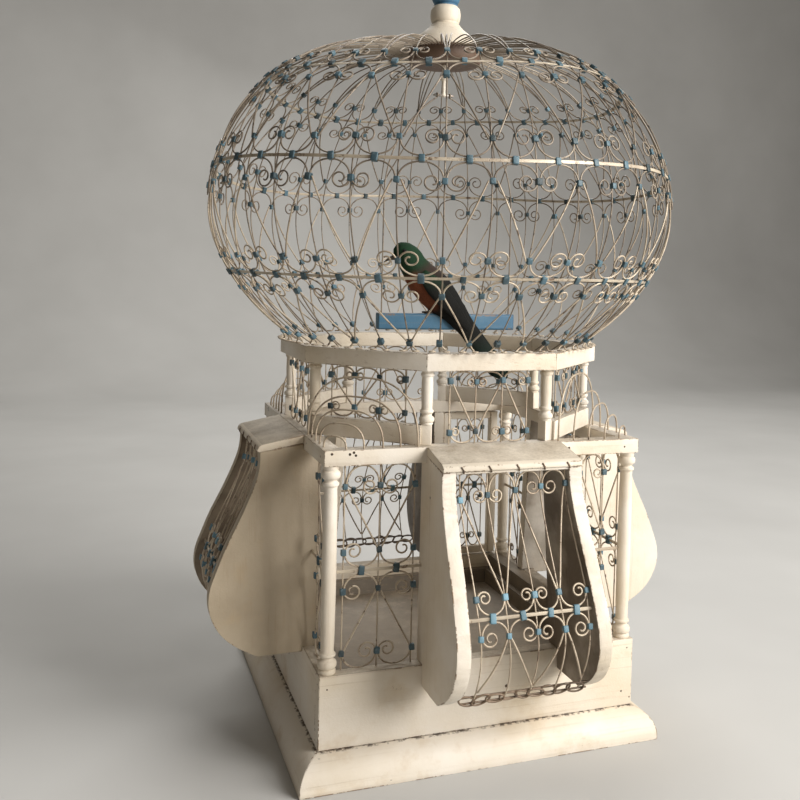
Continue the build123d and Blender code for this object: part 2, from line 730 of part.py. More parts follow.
with BuildPart() as door_pin:
    with Locations((-DOOR_PIN_X, DOOR_D, (PLINTH_TOP - 8 + FRAME_Z + 6) / 2)):
        Cylinder(PIN_R, FRAME_Z + 6 - PLINTH_TOP + 8)
save(door_pin, "door_pin")

BUTTON_T = 3.0
BUTTON_Y = FRAME_HALF + 0.2 + BUTTON_T / 2
with BuildPart() as door_button:
    with Locations((-BUTTON_X + 8.5, BUTTON_Y, BUTTON_Z)):
        Box(25, BUTTON_T, 8)
    chamfer(door_button.edges().filter_by(Axis.Y), 2)
    with Locations(Location((-BUTTON_X, BUTTON_Y, BUTTON_Z), (90, 0, 0))):
        Cylinder(PIN_R + PIN_FIT, BUTTON_T, mode=Mode.SUBTRACT)
save(door_button, "door_button")

SCREW_END = FRAME_HALF + BUTTON_T + 0.4
with BuildPart() as button_screw:
    with Locations(Location((-BUTTON_X, (FRAME_HALF - 6 + SCREW_END) / 2, BUTTON_Z), (90, 0, 0))):
        Cylinder(PIN_R, SCREW_END - FRAME_HALF + 6)
    with Locations(Location((-BUTTON_X, SCREW_END + 0.7, BUTTON_Z), (90, 0, 0))):
        Cylinder(3.0, 1.4)
save(button_screw, "button_screw")
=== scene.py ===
import math
import random

import bmesh
import bpy
import numpy as np
from mathutils import Matrix, Vector


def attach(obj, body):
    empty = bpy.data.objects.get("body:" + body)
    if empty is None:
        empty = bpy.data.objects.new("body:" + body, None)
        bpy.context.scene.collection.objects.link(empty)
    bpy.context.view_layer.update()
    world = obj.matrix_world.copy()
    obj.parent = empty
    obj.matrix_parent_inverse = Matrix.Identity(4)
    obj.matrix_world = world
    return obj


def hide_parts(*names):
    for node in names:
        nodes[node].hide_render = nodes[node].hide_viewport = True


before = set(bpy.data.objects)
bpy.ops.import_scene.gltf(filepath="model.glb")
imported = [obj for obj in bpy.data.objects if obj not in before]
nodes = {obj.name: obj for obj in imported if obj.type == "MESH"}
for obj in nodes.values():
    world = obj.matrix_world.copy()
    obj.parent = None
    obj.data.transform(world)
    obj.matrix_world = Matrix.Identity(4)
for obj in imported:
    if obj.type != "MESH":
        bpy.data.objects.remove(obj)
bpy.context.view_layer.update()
rng = random.Random(7)
MM = 0.001


# ---------- materials
def new_material(name):
    mat = bpy.data.materials.new(name)
    mat.use_nodes = True
    return mat, mat.node_tree


def add_node(tree, kind, **inputs):
    node = tree.nodes.new(kind)
    for key, value in inputs.items():
        node.inputs[key].default_value = value
    return node


def coords(tree, scale=(1, 1, 1)):
    tex = tree.nodes.new("ShaderNodeTexCoord")
    mapping = add_node(tree, "ShaderNodeMapping", Scale=scale)
    tree.links.new(tex.outputs["Object"], mapping.inputs["Vector"])
    return mapping.outputs["Vector"]


def noise(tree, vector, scale, detail=4.0, rough=0.55):
    node = add_node(tree, "ShaderNodeTexNoise", Scale=scale, Detail=detail, Roughness=rough)
    tree.links.new(vector, node.inputs["Vector"])
    return node.outputs["Fac"]


def ramp(tree, value, low, high):
    node = tree.nodes.new("ShaderNodeMapRange")
    node.inputs["From Min"].default_value = low
    node.inputs["From Max"].default_value = high
    tree.links.new(value, node.inputs["Value"])
    return node.outputs["Result"]


def mix(tree, factor, a, b, strength=1.0):
    node = tree.nodes.new("ShaderNodeMix")
    node.data_type = "RGBA"
    if strength != 1.0:
        factor = times(tree, factor, strength)
    tree.links.new(factor, node.inputs[0])
    for socket, value in ((node.inputs[6], a), (node.inputs[7], b)):
        if isinstance(value, tuple):
            socket.default_value = (*value, 1.0)
        else:
            tree.links.new(value, socket)
    return node.outputs[2]


def math_node(tree, operation, a, b):
    node = tree.nodes.new("ShaderNodeMath")
    node.operation = operation
    for socket, value in zip(node.inputs, (a, b)):
        if isinstance(value, (int, float)):
            socket.default_value = value
        else:
            tree.links.new(value, socket)
    return node.outputs[0]


def times(tree, a, b):
    return math_node(tree, "MULTIPLY", a, b)


def plus(tree, a, b):
    return math_node(tree, "ADD", a, b)


def minus(tree, a, b):
    return math_node(tree, "SUBTRACT", a, b)


def attribute(tree, name):
    node = tree.nodes.new("ShaderNodeAttribute")
    node.attribute_name = name
    return node.outputs["Fac"]


def finish_shader(tree, color, rough_value, rough_spread, height, bump, metallic=0.0):
    shader = tree.nodes["Principled BSDF"]
    tree.links.new(color, shader.inputs["Base Color"])
    rough = tree.nodes.new("ShaderNodeMapRange")
    rough.inputs["To Min"].default_value = rough_value - rough_spread
    rough.inputs["To Max"].default_value = rough_value + rough_spread
    tree.links.new(height, rough.inputs["Value"])
    tree.links.new(rough.outputs["Result"], shader.inputs["Roughness"])
    shader.inputs["Metallic"].default_value = metallic
    node = add_node(tree, "ShaderNodeBump", Strength=bump, Distance=0.0006)
    tree.links.new(height, node.inputs["Height"])
    tree.links.new(node.outputs["Normal"], shader.inputs["Normal"])


GRAIN = {"x": (7, 330, 330), "y": (330, 7, 330), "z": (330, 330, 7), "n": (120, 120, 330)}


def painted_wood(name, axis, paint, shade, bare, grime=0.5, chip=0.0, seam=None):
    """Old paint on wood: yellowing, stains, cracks along the grain, chips and nail holes."""
    mat, tree = new_material(name)
    plain = coords(tree)
    grain = noise(tree, coords(tree, GRAIN[axis]), 1.0, 3.0, 0.6)
    broad = noise(tree, plain, 9.0, 5.0, 0.6)
    blotch = noise(tree, plain, 38.0, 6.0, 0.65)
    fine = noise(tree, plain, 420.0, 4.0, 0.7)
    color = mix(tree, ramp(tree, broad, 0.36, 0.66), paint, shade)
    color = mix(tree, ramp(tree, blotch, 0.55, 0.78), color, (0.50, 0.36, 0.20), grime)
    crack = times(tree, ramp(tree, grain, 0.56, 0.72), ramp(tree, broad, 0.40, 0.62))
    color = mix(tree, crack, color, (0.36, 0.25, 0.15), 0.42)
    wear = attribute(tree, "wear")
    loose = plus(tree, blotch, times(tree, fine, 0.55))
    loose = plus(tree, loose, times(tree, wear, 0.23))
    chips = ramp(tree, loose, 1.05 - chip, 1.09 - chip)
    color = mix(tree, chips, color, bare, 0.85)
    cell = add_node(tree, "ShaderNodeTexVoronoi", Scale=34.0)
    tree.links.new(plain, cell.inputs["Vector"])
    picked = ramp(tree, noise(tree, plain, 17.0, 1.0), 0.60, 0.63)
    dot = times(tree, ramp(tree, cell.outputs["Distance"], 0.055, 0.03), picked)
    color = mix(tree, dot, color, (0.07, 0.05, 0.035))
    dust = times(tree, attribute(tree, "dust"), ramp(tree, loose, 0.50, 0.95))
    color = mix(tree, dust, color, (0.30, 0.245, 0.18), 0.8)
    # soot and painted shade: faces that look into a bay turn near-black brown, broken up by broad noise
    soot_and_shade = times(tree, attribute(tree, "soot_and_shade"), ramp(tree, broad, 0.20, 0.55))
    color = mix(tree, soot_and_shade, color, (0.085, 0.058, 0.036), 0.9)
    if seam is not None:
        split = tree.nodes.new("ShaderNodeSeparateXYZ")
        tree.links.new(plain, split.inputs[0])
        away = math_node(tree, "ABSOLUTE", minus(tree, split.outputs["Z"], seam), 0)
        away = plus(tree, away, times(tree, fine, 0.0012))
        dashes = ramp(tree, noise(tree, plain, 250.0, 2.0), 0.45, 0.55)
        broken = times(tree, ramp(tree, away, 0.0014, 0.0007), dashes)
        color = mix(tree, broken, color, (0.06, 0.04, 0.03), 0.9)
    height = minus(tree, fine, times(tree, crack, 0.6))
    height = minus(tree, height, times(tree, chips, 0.8))
    height = minus(tree, height, times(tree, dot, 1.5))
    finish_shader(tree, color, 0.58, 0.16, height, 0.35)
    return mat


def painted_wire(name, light, dull, rust):
    mat, tree = new_material(name)
    plain = coords(tree)
    broad = noise(tree, plain, 26.0, 4.0, 0.6)
    patch = noise(tree, plain, 130.0, 5.0, 0.7)
    fine = noise(tree, plain, 900.0, 3.0, 0.6)
    color = mix(tree, ramp(tree, broad, 0.35, 0.66), light, dull)
    spots = ramp(tree, patch, 0.56, 0.64)
    color = mix(tree, spots, color, rust, 0.85)
    height = minus(tree, fine, times(tree, spots, 0.7))
    finish_shader(tree, color, 0.45, 0.15, height, 0.4, 0.15)
    return mat


def painted_clamp(name, dark_tone, light_tone):
    """Teal strip whose tone differs from clamp to clamp."""
    mat, tree = new_material(name)
    plain = coords(tree)
    tone = attribute(tree, "tone")
    patch = noise(tree, plain, 260.0, 5.0, 0.7)
    fine = noise(tree, plain, 1200.0, 3.0, 0.6)
    color = mix(tree, tone, dark_tone, light_tone)
    color = mix(tree, ramp(tree, patch, 0.52, 0.70), color, (0.24, 0.31, 0.33), 0.40)
    spots = ramp(tree, patch, 0.30, 0.24)
    color = mix(tree, spots, color, (0.10, 0.06, 0.04), 0.9)
    height = minus(tree, fine, times(tree, spots, 0.6))
    finish_shader(tree, color, 0.48, 0.14, height, 0.45)
    return mat


def plumage(name):
    """Painted feathers: the colour comes from the mesh, barred by fine barbs."""
    mat, tree = new_material(name)
    node = tree.nodes.new("ShaderNodeAttribute")
    node.attribute_name = "paint"
    barbs = noise(tree, coords(tree, (900, 300, 500)), 1.0, 3.0, 0.7)
    tufts = noise(tree, coords(tree), 160.0, 4.0, 0.6)
    color = mix(tree, ramp(tree, barbs, 0.45, 0.75), node.outputs["Color"], (0.02, 0.02, 0.018), 0.5)
    height = plus(tree, barbs, tufts)
    finish_shader(tree, color, 0.70, 0.12, height, 0.6)
    tree.nodes["Principled BSDF"].inputs["Specular IOR Level"].default_value = 0.18
    return mat


def metal(name, tint):
    mat, tree = new_material(name)
    plain = coords(tree)
    patch = noise(tree, plain, 300.0, 5.0, 0.7)
    color = mix(tree, ramp(tree, patch, 0.45, 0.7), tint, (0.20, 0.11, 0.06), 0.7)
    finish_shader(tree, color, 0.42, 0.15, patch, 0.3, 0.9)
    return mat


CREAM = (0.75, 0.69, 0.605)
OCHRE = (0.64, 0.55, 0.42)
BARE = (0.22, 0.14, 0.08)
ivory = {a: painted_wood("ivory_" + a, a, CREAM, OCHRE, BARE, 0.30) for a in "xyzn"}
# darker copy of the ivory paint: painted shade for the cheeks of the left bay
shaded_ivory = painted_wood("shaded_ivory", "z", (0.51, 0.425, 0.31), (0.385, 0.31, 0.215), BARE, 0.45)
SKIRT_SEAM_Z = 0.027
base_ivory = {a: painted_wood("base_" + a, a, CREAM, OCHRE, BARE, 0.5, 0.02, SKIRT_SEAM_Z) for a in "xy"}
BLUE, DEEP_BLUE = (0.06, 0.17, 0.27), (0.045, 0.13, 0.22)
blue = {a: painted_wood("blue_" + a, a, DEEP_BLUE, BLUE, BARE, 0.1) for a in "xz"}
dark = painted_wood("dark_wood", "n", (0.15, 0.09, 0.055), (0.10, 0.06, 0.04), (0.05, 0.03, 0.02), 0.2)
bare = {a: painted_wood("bare_" + a, a, (0.40, 0.28, 0.17), (0.30, 0.20, 0.12), BARE, 0.4) for a in "xy"}
flat_mat = painted_wire("flat_bar", (0.60, 0.52, 0.40), (0.38, 0.31, 0.23), (0.14, 0.08, 0.05))
wire_mat = painted_wire("wire", (0.33, 0.275, 0.21), (0.155, 0.12, 0.088), (0.05, 0.035, 0.025))
pale_wire_mat = painted_wire("pale_wire", (0.58, 0.49, 0.37), (0.34, 0.265, 0.19), (0.09, 0.055, 0.035))
rusty_wire_mat = painted_wire("rusty_wire", (0.20, 0.14, 0.09), (0.10, 0.065, 0.04), (0.045, 0.028, 0.02))
roof_wood = painted_wood("roof_wood", "n", (0.70, 0.63, 0.52), (0.56, 0.48, 0.37), BARE, 0.5)
DUSTY, DUSTY_DARK, DIRT = (0.21, 0.17, 0.125), (0.13, 0.105, 0.075), (0.045, 0.033, 0.025)
floor_wood = painted_wood("floor_wood", "n", DUSTY, DUSTY_DARK, DIRT, 0.5, 0.13)
clamp_mat = painted_clamp("clamp_blue", (0.022, 0.040, 0.046), (0.085, 0.165, 0.21))
pale_clamp_mat = painted_clamp("clamp_pale", (0.035, 0.075, 0.095), (0.17, 0.33, 0.42))
steel = metal("steel", (0.42, 0.40, 0.37))
nail_mat = metal("old_nail", (0.05, 0.038, 0.03))
feathers = plumage("bird_paint")


# ---------- mesh tools
def add_object(name, data):
    obj = bpy.data.objects.new(name, data)
    bpy.context.scene.collection.objects.link(obj)
    return obj


def make_object(name, vertices, faces, mat):
    mesh = bpy.data.meshes.new(name)
    mesh.from_pydata([tuple(v) for v in vertices], [], faces)
    mesh.update()
    mesh.materials.append(mat)
    mesh.polygons.foreach_set("use_smooth", [True] * len(mesh.polygons))
    return add_object(name, mesh)


def stitch(faces, start, rings, sides):
    """Skin between rings of vertices, closed at both ends, added to the faces."""
    for i in range(rings - 1):
        a = start + i * sides
        for j in range(sides):
            k = (j + 1) % sides
            faces.append((a + j, a + k, a + sides + k, a + sides + j))
    faces.append(tuple(start + j for j in reversed(range(sides))))
    faces.append(tuple(start + (rings - 1) * sides + j for j in range(sides)))


def tube_mesh(path, radius, sides, vertices, faces):
    """One wire along a polyline, with rounded ends, added to the lists."""
    p = np.asarray(path, float)
    keep = np.concatenate(([True], np.linalg.norm(np.diff(p, axis=0), axis=1) > 1e-5))
    p = p[keep]
    t = np.gradient(p, axis=0)
    t /= np.linalg.norm(t, axis=1)[:, None]
    n = np.cross(t[0], (0.0, 0.0, 1.0))
    if np.linalg.norm(n) < 0.1:
        n = np.cross(t[0], (1.0, 0.0, 0.0))
    n /= np.linalg.norm(n)
    angles = np.arange(sides) * 2 * math.pi / sides
    start = len(vertices)
    rings = []
    for i in range(len(p)):
        n = n - t[i] * np.dot(n, t[i])
        n /= np.linalg.norm(n)
        b = np.cross(t[i], n)
        ring = np.outer(np.cos(angles), n) + np.outer(np.sin(angles), b)
        rings.append(p[i] + radius * ring)
        if i == 0:
            first = p[0] - t[0] * radius * 0.55 + 0.6 * radius * ring
        if i == len(p) - 1:
            last = p[i] + t[i] * radius * 0.55 + 0.6 * radius * ring
    rings = [first] + rings + [last]
    for ring in rings:
        vertices.extend(ring)
    stitch(faces, start, len(rings), sides)


def wires(name, paths, radius, mat, sides=7):
    vertices, faces = [], []
    for path in paths:
        r = radius
        if isinstance(path, tuple):
            path, r = path
        tube_mesh(path, r, sides, vertices, faces)
    return make_object(name, vertices, faces, mat)


def lathe(name, profile, mat, places, segments=36):
    """Turned piece repeated at places; the profile is (radius, height) in metres."""
    vertices, faces = [], []
    for place in places:
        start = len(vertices)
        for r, z in profile:
            for j in range(segments):
                a = 2 * math.pi * j / segments
                vertices.append(place @ Vector((r * math.cos(a), r * math.sin(a), z)))
        stitch(faces, start, len(profile), segments)
    return make_object(name, vertices, faces, mat)


def worn(source, mat, bevel, body="cage", soot_and_shade_faces=None):
    """A bevelled copy of CAD nodes; worn edges, dusty tops and the faces for soot and painted shade are
    marked for the paint.
    """
    for node_name in source:
        obj = nodes[node_name]
        bm = bmesh.new()
        bm.from_mesh(obj.data)
        bmesh.ops.remove_doubles(bm, verts=bm.verts, dist=1e-6)
        bmesh.ops.dissolve_limit(bm, angle_limit=0.02, verts=bm.verts, edges=bm.edges)
        sharp = [e for e in bm.edges if len(e.link_faces) == 2 and e.calc_face_angle(0) > 0.5]
        wear = bm.loops.layers.float.new("wear")
        dust = bm.loops.layers.float.new("dust")
        soot_and_shade = bm.loops.layers.float.new("soot_and_shade")
        bm.normal_update()
        for face in bm.faces:
            # the second mark is soot and painted shade, for the faces the given test picks
            marks = (float(face.normal.z > 0.95), float(bool(soot_and_shade_faces and soot_and_shade_faces(face))))
            for loop in face.loops:
                loop[dust], loop[soot_and_shade] = marks
        result = bmesh.ops.bevel(
            bm, geom=sharp, offset=bevel * MM, segments=2, profile=0.6, affect="EDGES", clamp_overlap=True
        )
        for face in result["faces"]:
            for loop in face.loops:
                loop[wear] = 1.0
        mesh = bpy.data.meshes.new(node_name + "_v")
        bm.to_mesh(mesh)
        bm.free()
        mesh.materials.append(mat)
        mesh.polygons.foreach_set("use_smooth", [True] * len(mesh.polygons))
        piece = add_object(node_name + "_v", mesh)
        piece.data.set_sharp_from_angle(angle=0.6)
        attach(piece, body)
        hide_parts(node_name)


def settle(obj, body, slot, *replaced):
    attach(obj, body)
    if replaced:
        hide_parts(*replaced)


# clamps: small bent strips, one bevelled block each, gathered into one mesh
def clamp_template():
    bm = bmesh.new()
    bmesh.ops.create_cube(bm, size=1.0)
    bmesh.ops.bevel(bm, geom=bm.edges[:], offset=0.14, segments=2, profile=0.6, affect="EDGES")
    vertices = np.array([v.co[:] for v in bm.verts])
    faces = [tuple(v.index for v in f.verts) for f in bm.faces]
    bm.free()
    return vertices, faces


CLAMP_V, CLAMP_F = clamp_template()


def clamps(name, places, mat=clamp_mat):
    """Each place is (centre, across, up, (width, height, depth) in mm)."""
    vertices, faces, tones = [], [], []
    for centre, across, up, size in places:
        u = np.asarray(up, float)
        u /= np.linalg.norm(u)
        a = np.asarray(across, float)
        a -= u * np.dot(a, u)
        a /= np.linalg.norm(a)
        turn = rng.uniform(-0.10, 0.10)
        a, u = a * math.cos(turn) + u * math.sin(turn), u * math.cos(turn) - a * math.sin(turn)
        n = np.cross(a, u)
        grow = 1 + rng.uniform(-0.10, 0.12)
        w, h, d = (s * MM * grow for s in size)
        start = len(vertices)
        block = np.asarray(centre) + CLAMP_V[:, :1] * w * a + CLAMP_V[:, 1:2] * h * u
        vertices.extend(block + CLAMP_V[:, 2:] * d * n)
        faces.extend(tuple(start + i for i in f) for f in CLAMP_F)
        tones.extend([min(1.0, max(0.0, rng.gauss(0.45, 0.28)))] * len(CLAMP_V))
    obj = make_object(name, vertices, faces, mat)
    obj.data.attributes.new("tone", "FLOAT", "POINT").data.foreach_set("value", tones)
    return obj


# ---------- scroll pattern
def arch(left, right, touch, steps=16):
    """U of wire between two clamps; it touches a bar, ring or board at `touch`."""
    out = []
    for i in range(steps + 1):
        f = math.pi * i / steps
        x = (left[0] + right[0]) / 2 - math.cos(f) * (right[0] - left[0]) / 2
        level = left[1] + (right[1] - left[1]) * i / steps
        out.append((x, level + (touch - level) * math.sin(f) ** 0.9))
    return out


def spiral(start, toward, away, r0, r1, turns, scale=1.0, steps=30):
    """Curl that leaves a clamp along `away` and winds `toward` one side."""
    r0 *= 1 + rng.uniform(-0.08, 0.08)
    turns *= 1 + rng.uniform(-0.05, 0.05)
    out = []
    for i in range(steps + 1):
        f = i / steps
        a = math.pi - 2 * math.pi * turns * f
        r = r0 + (r1 - r0) * f ** 0.85
        x = start[0] + toward * scale * (r0 + r * math.cos(a) - (r0 - r) * 0.12)
        out.append((x, start[1] + away * (r * math.sin(a) + (r0 - r) * 0.10)))
    return out


def scroll_row(cols, level, touch, side, plain, curl, paths, scale=1.0, gap=0.9):
    """Row of U wires on one side of a bar. `plain` columns pass straight on, the rest curl."""
    r0, r1, turns = curl
    for i in range(len(cols) - 1):
        a = (cols[i] + gap * scale, level[i])
        b = (cols[i + 1] - gap * scale, level[i + 1])
        path = arch(a, b, touch[i])
        if not plain[i]:
            path = spiral(a, 1, side, r0, r1, turns, scale)[::-1] + path[1:]
        if not plain[i + 1]:
            path = path + spiral(b, -1, side, r0, r1, turns, scale)[1:]
        paths.append(path)


def line(a, b, steps=10, bend=0.0):
    out = []
    for i in range(steps + 1):
        f = i / steps
        g = f + bend * math.sin(2 * math.pi * f) / (2 * math.pi)
        out.append((a[0] + (b[0] - a[0]) * g, a[1] + (b[1] - a[1]) * f))
    return out


def braces(cols_a, level_a, plain_a, cols_b, level_b, paths, bend=0.0):
    """Slanting wires from each plain clamp of row a to its neighbours in row b."""
    for i, through in enumerate(plain_a):
        if not through:
            continue
        for k in (i - 1, i + 1):
            if 0 <= k < len(cols_b):
                side = 0.9 if k > i else -0.9
                paths.append(line((cols_a[i] + side, level_a[i]), (cols_b[k] - side, level_b[k]), 14, bend))


def jitter(values, amount):
    return [v + rng.uniform(-amount, amount) for v in values]


def segments(points, steps=8):
    """Smooth curve through the given points (Catmull-Rom)."""
    p = [Vector(q) for q in points]
    p = [p[0] * 2 - p[1]] + p + [p[-1] * 2 - p[-2]]
    out = []
    for i in range(1, len(p) - 2):
        for s in range(steps):
            t = s / steps
            a = p[i] * 2
            b = (p[i + 1] - p[i - 1]) * t
            c = (p[i - 1] * 2 - p[i] * 5 + p[i + 1] * 4 - p[i + 2]) * t * t
            d = (p[i] * 3 - p[i - 1] - p[i + 1] * 3 + p[i + 2]) * t ** 3
            out.append((a + b + c + d) / 2)
    out.append(p[-2])
    return out


class Surface:
    """Turns flat pattern points into points of the cage: x across, s along the profile."""

    def __init__(self, profile, fan=False, turn=0.0, proud=0.0):
        """profile: (distance from the axis, z) in mm, bottom first."""
        p = np.array(profile, float)
        self.s = np.concatenate(([0.0], np.cumsum(np.linalg.norm(np.diff(p, axis=0), axis=1))))
        self.d, self.z = p[:, 0], p[:, 1]
        self.fan, self.turn, self.proud = fan, math.radians(turn), proud

    def at(self, z):
        """Pattern height of a level."""
        return float(np.interp(z, self.z, self.s))

    def point(self, x, s, proud=0.0):
        d = np.interp(s, self.s, self.d) + self.proud + proud
        z = np.interp(s, self.s, self.z)
        if self.fan:
            z += self.sag(x, s)
            a = math.radians(x) + self.turn
            return np.array((d * math.sin(a), -d * math.cos(a), z)) * MM
        c, n = math.cos(self.turn), math.sin(self.turn)
        return np.array((x * c + d * n, x * n - d * c, z)) * MM

    def sag(self, x, s):
        """The rings were tied by hand and do not lie level: height offset in mm."""
        levels = [-size * math.cos(math.radians(3 * (x + phase))) for size, phase in RING_SAG]
        return np.interp(s, [0.0, *ring_s, self.s[-1]], [0.0, *levels, 0.0])

    def path(self, flat, proud=0.0):
        return [self.point(x, s, proud) for x, s in flat]

    def clamp(self, x, s, size, proud=0.0):
        e = 0.5
        across = self.point(x + e, s) - self.point(x - e, s)
        up = self.point(x, s + e) - self.point(x, s - e)
        return (self.point(x, s, proud), across, up, size)


def axis_turn(degrees_):
    return Matrix.Rotation(math.radians(degrees_), 4, "Z")


# ---------- dome
DOME_R = 222.0
DOME_WIDEST_Z = 474.7
DOME_RISE = 159.8
DOME_FALL = 178.5


def dome_radius(z):
    if z >= DOME_WIDEST_Z:
        return DOME_R * (1 - ((z - DOME_WIDEST_Z) / DOME_RISE) ** 1.8) ** (1 / 3.0)
    return DOME_R * (1 - ((DOME_WIDEST_Z - z) / DOME_FALL) ** 1.85) ** (1 / 1.6)


RINGS = [411.5, 505.0, 588.0]
RING_SAG = [(1.2, 35.0), (3.8, 20.0), (4.2, 32.0)]
MERIDIANS = 38
PITCH = 360.0 / MERIDIANS
DOME_FOOT_Z = 357.0
THIN_R, UPRIGHT_R, WIRE_R, SCROLL_R, STOUT_R = 0.64 * MM, 0.62 * MM, 0.74 * MM, 0.78 * MM, 0.82 * MM
LOOP_R, HANGER_R, PEG_R = 0.85 * MM, 0.72 * MM, 0.75 * MM
SMALL_CLAMP = (4.6, 5.0, 4.0)
RING_CLAMP = (5.0, 6.4, 4.4)
meridian = [(139.5, 349.7)] + [(dome_radius(z), z) for z in np.linspace(353, 626, 110)]
meridian += [(82.0, 629.0), (62.0, 631.0), (35.3, 632.0)]
dome = Surface(meridian, fan=True)
ring_s = [dome.at(z) for z in RINGS]


def build_dome():
    rows = {}
    reach = [(16.5, 16.5), (17.3, 17.3), (17.5, 17.8)]
    curl = [8.6, 9.0, 7.2]
    for n in range(len(RINGS)):
        for side in (-1, 1):
            offset = reach[n][0 if side < 0 else 1]
            level = [ring_s[n] + side * (offset + rng.uniform(-0.8, 0.8)) for _ in range(MERIDIANS)]
            level.append(level[0])
            cols = jitter([PITCH * i for i in range(MERIDIANS)], 0.12)
            cols.append(cols[0] + 360)
            plain = [(i % 2 == 1) == (n == 1) for i in range(MERIDIANS + 1)]
            rows[n, side] = (cols, level, plain)
    groups = {"low": [], "mid": [], "high": []}
    spots = {"low": [], "mid": [], "high": []}
    for n, name in enumerate(groups):
        for side in (-1, 1):
            cols, level, plain = rows[n, side]
            touch = [ring_s[n] + side * 2.4] * MERIDIANS
            scale = 57.3 / dome_radius(RINGS[n])
            flat = []
            scroll_row(cols, level, touch, side, plain, (curl[n], 2.0, 1.3), flat, scale)
            groups[name] += [dome.path(p, 0.6) for p in flat]
            for i in range(MERIDIANS):
                spots[name].append(dome.clamp(cols[i], level[i], SMALL_CLAMP, 0.2))
        for k in range(MERIDIANS):
            x = PITCH * (k + 0.5) + rng.uniform(-0.15, 0.15)
            spots[name].append(dome.clamp(x, ring_s[n], RING_CLAMP, 0.2))
    for n, name in enumerate(("low", "mid")):
        flat = []
        braces(*rows[n, 1], *rows[n + 1, -1][:2], flat)
        groups[name] += [dome.path(p, 0.5) for p in flat]
    cols, level, plain = rows[2, 1]
    for i in range(0, MERIDIANS, 2):
        for k in (-1, 1):
            top = (cols[i] + k * PITCH / 2, dome.s[-1])
            path = line((cols[i] + 0.3 * k, level[i]), top, 22)
            groups["high"].append(dome.path(path, 0.4))
    foot_level = dome.at(DOME_FOOT_Z)
    cols, level, plain = rows[0, -1]
    for i in range(0, MERIDIANS, 2):
        for k in (-1, 1):
            a = (cols[i] + 0.28 * k, level[i])
            b = (PITCH * (i + k) - 0.4 * k, foot_level)
            groups["low"].append(dome.path(line(a, b, 16), 0.5))
    ledge = []
    for i in range(MERIDIANS):
        spots["low"].append(dome.clamp(PITCH * i, foot_level, SMALL_CLAMP, 0.2))
        a = math.radians(PITCH * i)
        out = np.array((math.sin(a), -math.cos(a), 0.0))
        across = np.array((math.cos(a), math.sin(a), 0.0))
        base = dome.point(PITCH * i, foot_level)
        for k in (-1, 1):
            lift = []
            for m, (x, y) in enumerate(spiral((0.8 * k, 0.0), k, -1, 4.4, 1.2, 1.25, 1.0, 22)):
                spot = base + across * x * MM + out * (y + 2.0) * MM
                spot[2] = (DOME_FOOT_Z - 6.8 * min(1.0, m / 5.0)) * MM
                lift.append(spot)
            ledge.append(lift)
    for name, paths in groups.items():
        mat = pale_wire_mat if name == "low" else wire_mat
        settle(wires("dome_scrolls_" + name, paths, WIRE_R, mat), "cage", "wire")
    settle(wires("dome_ledge_scrolls", ledge, HANGER_R, pale_wire_mat, 6), "cage", "wire")
    for name, places in spots.items():
        obj = clamps("dome_clamps_" + name, places)
        settle(obj, "cage", "clamp_blue", *(["ring_clamps"] if name == "mid" else []))
    stops = [dome.s[0], *ring_s, dome.s[-1]]
    tiers = ["dome_wires_foot", "dome_wires_low", "dome_wires_mid", "dome_wires_top"]
    for t, tier in enumerate(tiers):
        paths = []
        for i in range(MERIDIANS):
            a = PITCH * i + rng.uniform(-0.15, 0.15)
            span = np.linspace(stops[t], stops[t + 1], 20)
            paths.append([dome.point(a, level, -1.3) for level in span])
        settle(wires(tier + "_v", paths, UPRIGHT_R, wire_mat, 6), "cage", "wire", tier)


def flat_ring(n, height, thick, mat, name, steps=228):
    """Flat strip that follows the uneven line of one ring."""
    vertices, faces = [], []
    for i in range(steps):
        x = 360.0 * i / steps
        wobble = 0.25 * math.sin(math.radians(5 * x)) + 0.15 * math.sin(math.radians(13 * x))
        for r, h in ((-0.5, -0.5), (0.5, -0.5), (0.62, 0.0), (0.5, 0.5), (-0.5, 0.5), (-0.62, 0.0)):
            vertices.append(dome.point(x, ring_s[n] + h * height, r * thick + wobble))
    for i in range(steps):
        k = (i + 1) % steps
        for j in range(6):
            m = (j + 1) % 6
            faces.append((i * 6 + j, k * 6 + j, k * 6 + m, i * 6 + m))
    obj = make_object(name, vertices, faces, mat)
    obj.data.set_sharp_from_angle(angle=0.7)
    return obj


# ---------- bays
CHEEK_FRONT = [
    (184, 74), (200, 83), (212, 93), (221, 107), (225, 122), (224.5, 134),
    (219, 152), (210, 175), (200, 196), (191, 217), (184.5, 236), (183, 262),
]
CHEEK_TOP_Z = 262.0
CHEEK_FALL = 188.0
GRILLE_FRONT = [(203, 74), (208, 83), (214, 93)] + CHEEK_FRONT[3:]
BAY_CLAMP = (4.3, 5.1, 3.6)
BAR_CLAMP = (4.7, 7.4, 4.2)
BAY_FOOT = {"front": 70.0, "right": 84.0, "back": 84.0, "left": 84.0}
BAY_BAR = {"front": 148.0, "right": 153.0, "back": 153.0, "left": 153.0}


def right_edge(z):
    return 54.0 + 14.0 * (CHEEK_TOP_Z - z) / CHEEK_FALL


